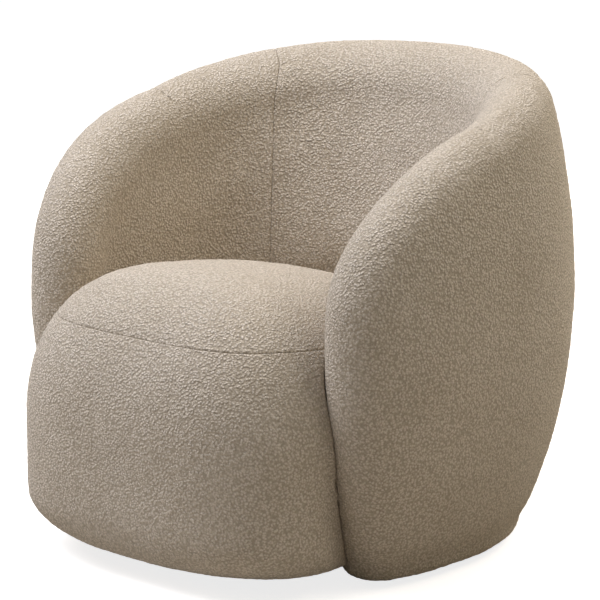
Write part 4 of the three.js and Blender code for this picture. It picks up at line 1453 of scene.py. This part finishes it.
@dataclass
class TubUpholstery:
    """Cloth on the tub: the outer cover, the inner back and the two inner arms."""

    form: TubForm
    filling: Filling
    back_seam: Seam = Seam(0.0026, 0.0034)
    rim_seam: Seam = Seam(0.0002, 0.0020, flange=0.002, quiet=True)
    outer_columns: int = 250
    outer_rows: int = 150
    inner_back_columns: int = 104
    inner_arm_columns: int = 168
    inner_rows: int = 150
    dense_columns: int = 420
    dense_rows: int = 420
    foot_places: int = 33
    fence_columns: int = 260
    fence_foot_places: int = 9
    fence_rows: int = 301

    def dense(self, first: float, last: float, low: float, high: float,
              seam: float | None = None) -> Callable[[float], np.ndarray]:
        """Dense surface of a panel.

        Args:
            first: First place along the rim.
            last: Last place along the rim.
            low: Lowest section.
            high: Highest section.
            seam: Which of the two places lies on a back seam, which strays from its column.

        Returns:
            A function that gives the points by column and row.
        """
        end = min(last, ARM_FOOT)
        along = np.linspace(first, end, self.dense_columns)[:, None]
        bends = [place for place in (FOOT_OUT, RIM_OUT, RIM_IN, FOOT_IN) if low < place < high]
        section = np.unique(np.concatenate([np.linspace(low, high, self.dense_rows), bends]))
        if seam is not None:
            nearness = 1.0 - np.abs(along - seam) / (end - first)
            along = along + nearness * self.form.seam_shift(section)[None, :]
        under = np.linspace(0.0, 1.0, self.foot_places)[1:] if last > ARM_FOOT else np.zeros(0)
        return lambda depth: np.concatenate([self.form.wall(along, section[None, :], depth),
                                             self.form.foot_end(under, section, depth)])

    def build(self, material: bpy.types.Material) -> None:
        """Makes the four panels.

        Args:
            material: The cloth's material.
        """
        place, rim = self.form.seam_place(), self.form.rim_seam
        columns, rows = Spacing(self.outer_columns), Spacing(self.outer_rows, seam_at_end=True)
        sheet, swell = self.filling.laid(self.dense(0.0, ARM_END, 0.0, rim), columns, rows, whole=True)
        ClothPanel("outer_cover", sheet, {Edge.TOP: self.rim_seam}, swell).build(material)
        columns = Spacing(self.inner_back_columns // 2, seam_at_end=True)
        rows = Spacing(self.inner_rows, seam_at_start=True)
        dense = self.dense(0.0, place, rim, SECTION_END, place)
        sheet, swell = self.filling.laid(dense, columns, rows, whole=True)
        seams = {Edge.START: self.back_seam, Edge.END: self.back_seam, Edge.BOTTOM: self.rim_seam}
        ClothPanel("inner_back_cover", sheet, seams, swell).build(material)
        columns = Spacing(self.inner_arm_columns, seam_at_start=True)
        sheet, swell = self.filling.laid(self.dense(place, ARM_END, rim, SECTION_END, place), columns, rows)
        seams = {Edge.START: self.back_seam, Edge.BOTTOM: self.rim_seam}
        ClothPanel("inner_arm_cover_left", sheet, seams, swell).build(material)
        swell = None if swell is None else swell[::-1]
        seams = {Edge.END: self.back_seam, Edge.BOTTOM: self.rim_seam}
        ClothPanel("inner_arm_cover_right", sheet.mirrored(), seams, swell).build(material)

    def fence(self, margin: float) -> BVHTree:
        """The left half of the wall, swollen by a margin, for the seat to stay clear of.

        Args:
            margin: How far the wall is swollen.

        Returns:
            A tree of its faces, for casting rays.
        """
        along = np.concatenate([np.linspace(0.0, ARM_FOOT, self.fence_columns),
                                np.linspace(ARM_FOOT, ARM_END, self.fence_foot_places)[1:]])
        points = self.form.surface(along, np.linspace(0.0, SECTION_END, self.fence_rows), -margin)
        return BVHTree.FromPolygons(points.reshape(-1, 3).tolist(), quads(numbers(points)).tolist())


@dataclass
class TubPadding:
    """Foam on the tub, under its cloth: outer pad, inner back and arms, and the roll on the rim."""

    form: TubForm
    under_cover: float = 0.0034
    inner_ease: float = 0.0045
    outer_thickness: float = 0.010
    inner_start: float = 0.0677
    end: float = 0.965
    edge: float = 0.004
    seam_edge: float = 0.001
    columns: int = 72
    rows: int = 40

    def build(self, material: bpy.types.Material) -> None:
        """Makes the five pads.

        Args:
            material: The foam's material.
        """
        form, seam = self.form, self.form.seam_place()
        outer = np.linspace(FOOT_OUT + self.edge, RIM_OUT - self.edge, self.rows)
        inner = np.linspace(RIM_IN + self.edge, FOOT_IN - self.edge, self.rows)
        half = self.places(0.0, self.end)
        set_foam("tub_outer_foam", across(form.wall(half, outer, self.under_cover)),
                 across(form.wall(half, outer, self.under_cover + self.outer_thickness)), material)
        half = self.places(0.0, seam - self.seam_edge)
        set_foam("inner_back_foam", across(form.wall(half, inner, self.inner_ease)),
                 across(form.lining(half, inner, self.inner_start)), material)
        side = self.places(seam + self.seam_edge, self.end)
        near, far = form.wall(side, inner, self.inner_ease), form.lining(side, inner, self.inner_start)
        set_foam("inner_arm_foam_left", near, far, material)
        set_foam("inner_arm_foam_right", near[::-1] * MIRROR, far[::-1] * MIRROR, material)
        round_rim = np.linspace(RIM_OUT, RIM_IN, self.rows)
        near = form.wall(self.places(0.0, ARM_FOOT), round_rim, self.inner_ease)
        share = np.linspace(0.0, 1.0, self.rows)[None, :, None]
        far = near[:, :1] * (1.0 - share) + near[:, -1:] * share
        set_foam("rim_foam", across(near), across(far), material)

    def places(self, first: float, last: float) -> np.ndarray:
        """Places along the rim, one to a row."""
        return np.linspace(first, last, self.columns)[:, None]


@dataclass
class SeatUpholstery:
    """Cloth on the seat block: its top and the band round it, which meet at a raised seam."""

    form: SeatForm
    fence: BVHTree
    filling: Filling
    seam: Seam = Seam(0.0017, 0.0034)
    columns: int = 430
    band_rows: int = 84
    top_rows: int = 62
    dense_turns: int = 720
    foam_rows: int = 26
    foam_low_lift: float = -52.0
    foam_high_lift: float = 26.0
    foam_turn_step: int = 8
    under_cover: float = 0.0034
    least_reach: float = 1e-6
    open_reach: float = 10.0
    top_lift: float = 90.0
    fill: float = 0.9

    def dense(self, low: float, high: float, count: int) -> Callable[[float], np.ndarray]:
        """Dense surface between two lifts, round the seat from the back by way of the front.

        Args:
            low: Lowest lift in degrees.
            high: Highest lift in degrees.
            count: Number of rows.

        Returns:
            A function of depth that gives the points by column and row.
        """
        turn = np.linspace(0.0, math.pi, self.dense_turns + 1)[:, None]
        lift = np.linspace(low, high, count)[None, :]
        turn, lift = np.broadcast_arrays(turn, lift)
        wanted, height = self.form.free_reach(turn, lift, 0.0)
        level = self.form.points(turn, wanted, height)[..., 2]
        reach = self.form.tucked(turn, np.maximum(wanted, self.least_reach), level)
        reach = np.minimum(reach, self.clear(turn, level))

        def surface(depth: float) -> np.ndarray:
            """The surface, drawn in by the depth from its own shape.

            Args:
                depth: Depth under the surface.

            Returns:
                Points by column and row.
            """
            if not depth:
                return across(self.form.points(turn, reach, height))
            inner, inner_height = self.form.free_reach(turn, lift, depth)
            drawn = np.minimum(inner, reach - depth * np.cos(np.radians(lift)))
            return across(self.form.points(turn, np.maximum(drawn, 0.0), inner_height))
        return surface

    def clear(self, turn: np.ndarray, z: np.ndarray) -> np.ndarray:
        """Level distance from the seat's centre to the tub, along turns at heights.

        Args:
            turn: Turns in radians.
            z: Heights of the same shape.

        Returns:
            The distances.
        """
        reach = np.full(turn.shape, self.open_reach)
        for place in np.ndindex(turn.shape):
            way = Vector((math.sin(turn[place]), -math.cos(turn[place]), 0.0))
            distance = self.fence.ray_cast(Vector((0.0, self.form.centre_y, z[place])), way)[3]
            if distance is not None:
                reach[place] = distance
        return reach

    def build(self, material: bpy.types.Material) -> None:
        """Makes the band and the top.

        Args:
            material: The cloth's material.
        """
        low, seam = self.form.edge_lift_angle, self.form.seam_lift_angle
        band = ("seat_band_cover", low, seam, Spacing(self.band_rows, seam_at_end=True), Edge.TOP)
        top = ("seat_top_cover", seam, self.top_lift, Spacing(self.top_rows, seam_at_start=True), Edge.BOTTOM)
        for name, first, last, rows, seam_edge in (band, top):
            dense = self.dense(first, last, 2 * rows.count)
            sheet, swell = self.filling.laid(dense, Spacing(self.columns), rows, closed=True)
            ClothPanel(name, sheet, {seam_edge: self.seam}, swell, fill=self.fill).build(material)

    def build_border(self, foam: bpy.types.Material) -> None:
        """Makes the foam ring between the seat's frame and its band.

        Args:
            foam: The foam's material.
        """
        low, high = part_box("seat_border_foam")
        room_low, room_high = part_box("seat_insulator")
        dense = self.dense(self.foam_low_lift, self.foam_high_lift, self.foam_rows)
        outer = dense(self.under_cover)[::self.foam_turn_step]
        outer[..., 2] = np.clip(outer[..., 2], low.z, high.z)
        way = outer[..., :2] - np.array([0.0, self.form.centre_y])
        ahead = np.where(way[..., 1] < 0, self.form.centre_y - room_low.y, room_high.y - self.form.centre_y)
        share = np.minimum(room_high.x / np.maximum(np.abs(way[..., 0]), SMALL_TURN),
                           ahead / np.maximum(np.abs(way[..., 1]), SMALL_TURN))
        inner = outer.copy()
        inner[..., 0] = way[..., 0] * share
        inner[..., 1] = self.form.centre_y + way[..., 1] * share
        set_foam("seat_border_foam", outer, inner, foam)


@dataclass
class DustCloths:
    """Thin black cloths stretched under the tub wall and under the seat block."""

    tub: TubForm
    seat: SeatForm
    inset: float = 0.0275
    thickness_drop: float = 0.0006
    tub_columns: int = 91
    tub_rows: int = 9
    round_rows: int = 7
    seat_rows: int = 13
    outer_share: float = 0.75
    rim_digits: int = 5

    def build(self, material: bpy.types.Material) -> None:
        """Makes both cloths."""
        self.tub_cloth(material)
        self.seat_cloth(material)

    def tub_cloth(self, material: bpy.types.Material) -> None:
        """The strip under the wall, with a round end under each arm.

        Args:
            material: The cloth's material.
        """
        low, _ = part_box("tub_dust_cover")
        angle = self.tub.foot_angle(np.linspace(0.0, ARM_FOOT, self.tub_columns))
        foot = np.full_like(angle, self.tub.wall_foot)
        middle, normal = self.tub.middle(angle, foot), self.tub.normal(angle, foot)
        reach = self.tub.half_wall(angle) - self.inset
        side = np.linspace(1.0, -1.0, self.tub_rows)
        strip = middle[:, None, :] + normal[:, None, :] * (reach[:, None] * side[None, :])[..., None]
        forward = self.tub.outward(np.array([ARM_FOOT]))[0]
        bulge = np.sqrt(np.maximum(0.0, 1.0 - side**2)) * reach[-1]
        rounds = [strip[-1] + forward * (bulge * share)[:, None]
                  for share in np.linspace(0.0, 1.0, self.round_rows)[1:]]
        grid = across(np.concatenate([strip, np.array(rounds)]))
        grid[..., 2] = low.z + self.thickness_drop
        piece = grid_object("tub_dust_cover_cloth", grid, turned=True)
        settle(piece, "tub_dust_cover", material)

    def seat_cloth(self, material: bpy.types.Material) -> None:
        """The sheet under the base board.

        Args:
            material: The cloth's material.
        """
        low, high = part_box("seat_dust_cover")
        source = frame["nodes"]["seat_dust_cover"].data
        under = [v.co for v in source.vertices if v.co.z < low.z + SAME_PLACE]
        rim = {(round(co.x, self.rim_digits), round(co.y, self.rim_digits)) for co in under}
        centre = Vector(((low.x + high.x) / 2, (low.y + high.y) / 2))
        least = self.outer_share * (high.x - low.x) / 2
        outer = [Vector(point) for point in rim if (Vector(point) - centre).length > least]
        outer.sort(key=lambda p: math.atan2(p.y - centre.y, p.x - centre.x))
        shares = np.linspace(0.0, 1.0, self.seat_rows)
        points = np.array([[(*(centre.lerp(p, share)), low.z + self.thickness_drop) for share in shares]
                           for p in [*outer, outer[0]]])
        piece = grid_object("seat_dust_cover_cloth", points)
        settle(piece, "seat_dust_cover", material)


@dataclass
class CarriedFrame:
    """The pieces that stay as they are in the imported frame, each with its finish."""

    finishes: dict[str, bpy.types.Material]

    def build(self) -> None:
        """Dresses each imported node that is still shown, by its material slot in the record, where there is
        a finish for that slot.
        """
        for row in frame["record"]["subparts"]:
            node = frame["nodes"].get(row["node"])
            material = self.finishes.get(row["material_slot"])
            if node is None or material is None or node.hide_render:
                continue
            for place in node.material_slots:
                place.material = material
            log.info("%s: %s", node.name, material.name)


@dataclass(frozen=True)
class Lamp:
    """A square lamp that faces the chair from a direction in degrees, with its power in watts."""

    name: str
    azimuth: float
    elevation: float
    power: float
    colour: Colour
    size: float = 2.4
    distance: float = 3.6

    def build(self, target: Vector) -> None:
        """Hangs the lamp up.

        Args:
            target: The point that it faces.
        """
        data = bpy.data.lights.new(self.name, "AREA")
        data.size, data.energy, data.color = self.size, self.power, linear(self.colour)
        aim(bpy.data.objects.new(self.name, data), target, self.azimuth, self.elevation, self.distance)


def aim(thing: bpy.types.Object, target: Vector, azimuth: float, elevation: float, distance: float) -> None:
    """Adds a lamp or camera to the scene, turned to its target from a direction and a distance.

    Args:
        thing: The lamp or camera.
        target: The point that it faces.
        azimuth: Degrees round from the front towards the sitter's left.
        elevation: Degrees above level.
        distance: How far from the target it stands.
    """
    way = direction(azimuth, elevation)
    thing.location = target + way * distance
    thing.rotation_euler = way.to_track_quat("Z", "Y").to_euler()
    bpy.context.scene.collection.objects.link(thing)


@dataclass
class Studio:
    """Pale floor, white surround, soft lamps and the camera at the photograph's place."""

    azimuth: float = 41.93
    elevation: float = 12.03
    distance: float = 4.0996
    target: tuple[float, float, float] = (0.0242, -0.0332, 0.3770)
    lens: float = 157.38
    sensor: float = 36.0
    clip: tuple[float, float] = (0.05, 100.0)
    lamps: tuple[Lamp, ...] = (
        Lamp("key", -58.1, 50.0, 126.0, (232, 237, 255)),
        Lamp("overhead", -30.0, 66.0, 86.0, (234, 238, 255)),
        Lamp("right", 121.9, 56.0, 76.0, (252, 247, 240)),
        Lamp("behind", -168.1, 12.0, 84.0, (255, 248, 240)),
    )
    floor_size: float = 30.0
    floor_grain: float = 40.0
    floor_roughness: float = 0.9
    floor_stops: tuple[tuple[float, Colour], ...] = ((0.3, (197, 190, 178)), (0.7, (203, 196, 184)))
    near_glow: float = 0.80
    far_glow: float = 0.98
    near_distance: float = 0.7
    far_distance: float = 2.6
    surround_light: float = 0.05

    def build(self) -> None:
        """Makes the camera, lamps, floor and world."""
        target = Vector(self.target)
        data = bpy.data.cameras.new("camera")
        data.lens, data.sensor_width = self.lens, self.sensor
        data.clip_start, data.clip_end = self.clip
        camera = bpy.data.objects.new("camera", data)
        aim(camera, target, self.azimuth, self.elevation, self.distance)
        for lamp in self.lamps:
            lamp.build(target)
        self.floor()
        self.world()
        bpy.context.scene.camera = camera
        bpy.context.scene.view_settings.view_transform = "Standard"

    def floor(self) -> None:
        """A pale floor that stays white to the camera but keeps the chair's shadow."""
        half = self.floor_size / 2
        corners = [(-half, -half, 0.0), (half, -half, 0.0), (half, half, 0.0), (-half, half, 0.0)]
        floor = mesh_object("floor", np.array(corners), [(0, 1, 2, 3)])
        board = MaterialBoard("floor")
        path = board.add("ShaderNodeLightPath")
        grain = board.grain(board.place(), self.floor_grain).outputs["Fac"]
        away = board.add("ShaderNodeVectorMath", {"operation": "LENGTH"}, Vector=board.place())
        reach = board.add("ShaderNodeMapRange", Value=away.outputs["Value"], From_Min=self.near_distance,
                          From_Max=self.far_distance, To_Min=self.near_glow, To_Max=self.far_glow)
        glow = board.math("MULTIPLY", path.outputs["Is Camera Ray"], reach.outputs["Result"])
        colour = board.ramp(grain, self.floor_stops)
        dress(floor, board.finish(colour, Roughness=self.floor_roughness, Specular_IOR_Level=0.0,
                                  Emission_Color=WHITE, Emission_Strength=glow))

    def world(self) -> None:
        """White to the camera and in reflections, and a plain soft light on the chair."""
        world = bpy.data.worlds.new("studio")
        world.use_nodes = True
        board = NodeBoard(world.node_tree)
        light = world.node_tree.nodes["Background"]
        path = board.add("ShaderNodeLightPath").outputs
        seen = board.math("MAXIMUM", path["Is Camera Ray"], path["Is Glossy Ray"])
        seen = board.math("MAXIMUM", seen, path["Is Transmission Ray"])
        strength = board.add("ShaderNodeMapRange", Value=seen, To_Min=self.surround_light, To_Max=1.0)
        board.feed(light.inputs["Color"], WHITE)
        board.feed(light.inputs["Strength"], strength.outputs["Result"])
        bpy.context.scene.world = world


def tub_centre(seat: SeatForm, set_forward: float, frame_front_share: float) -> float:
    """Y of the tub's centre, from the front rail of the seat frame, which follows the seat's centre."""
    low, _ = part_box("seat_front_rail")
    return low.y + set_forward + frame_front_share * seat.front_reach


def main() -> None:
    """Builds the chair's looks and the studio."""
    logging.basicConfig(level=logging.INFO, format="%(message)s")
    set_forward, frame_front_share = 0.212, 0.68
    centre_y = tub_centre(SeatForm(0.0), set_forward, frame_front_share)
    tub = TubForm(centre_y)
    seat = SeatForm(centre_y - set_forward)
    Studio().build()
    boucle = Boucle().material()
    foam = Foam().material()
    TubPadding(tub).build(foam)
    upholstery = TubUpholstery(tub, Filling())
    upholstery.build(boucle)
    crease = 0.0016
    seat_upholstery = SeatUpholstery(seat, upholstery.fence(crease), Filling(cap=0.002))
    seat_upholstery.build(boucle)
    seat_upholstery.build_border(foam)
    DustCloths(tub, seat).build(DustCloth().material())
    plain = (Fibre(), Plywood(), LiningBoard(), Webbing(), Nylon())
    finishes = {finish.name: finish.material() for finish in plain}
    CarriedFrame({**finishes, "foam": foam, "steel": ZincSteel().material()}).build()
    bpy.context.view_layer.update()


if __name__ == "__main__":
    main()
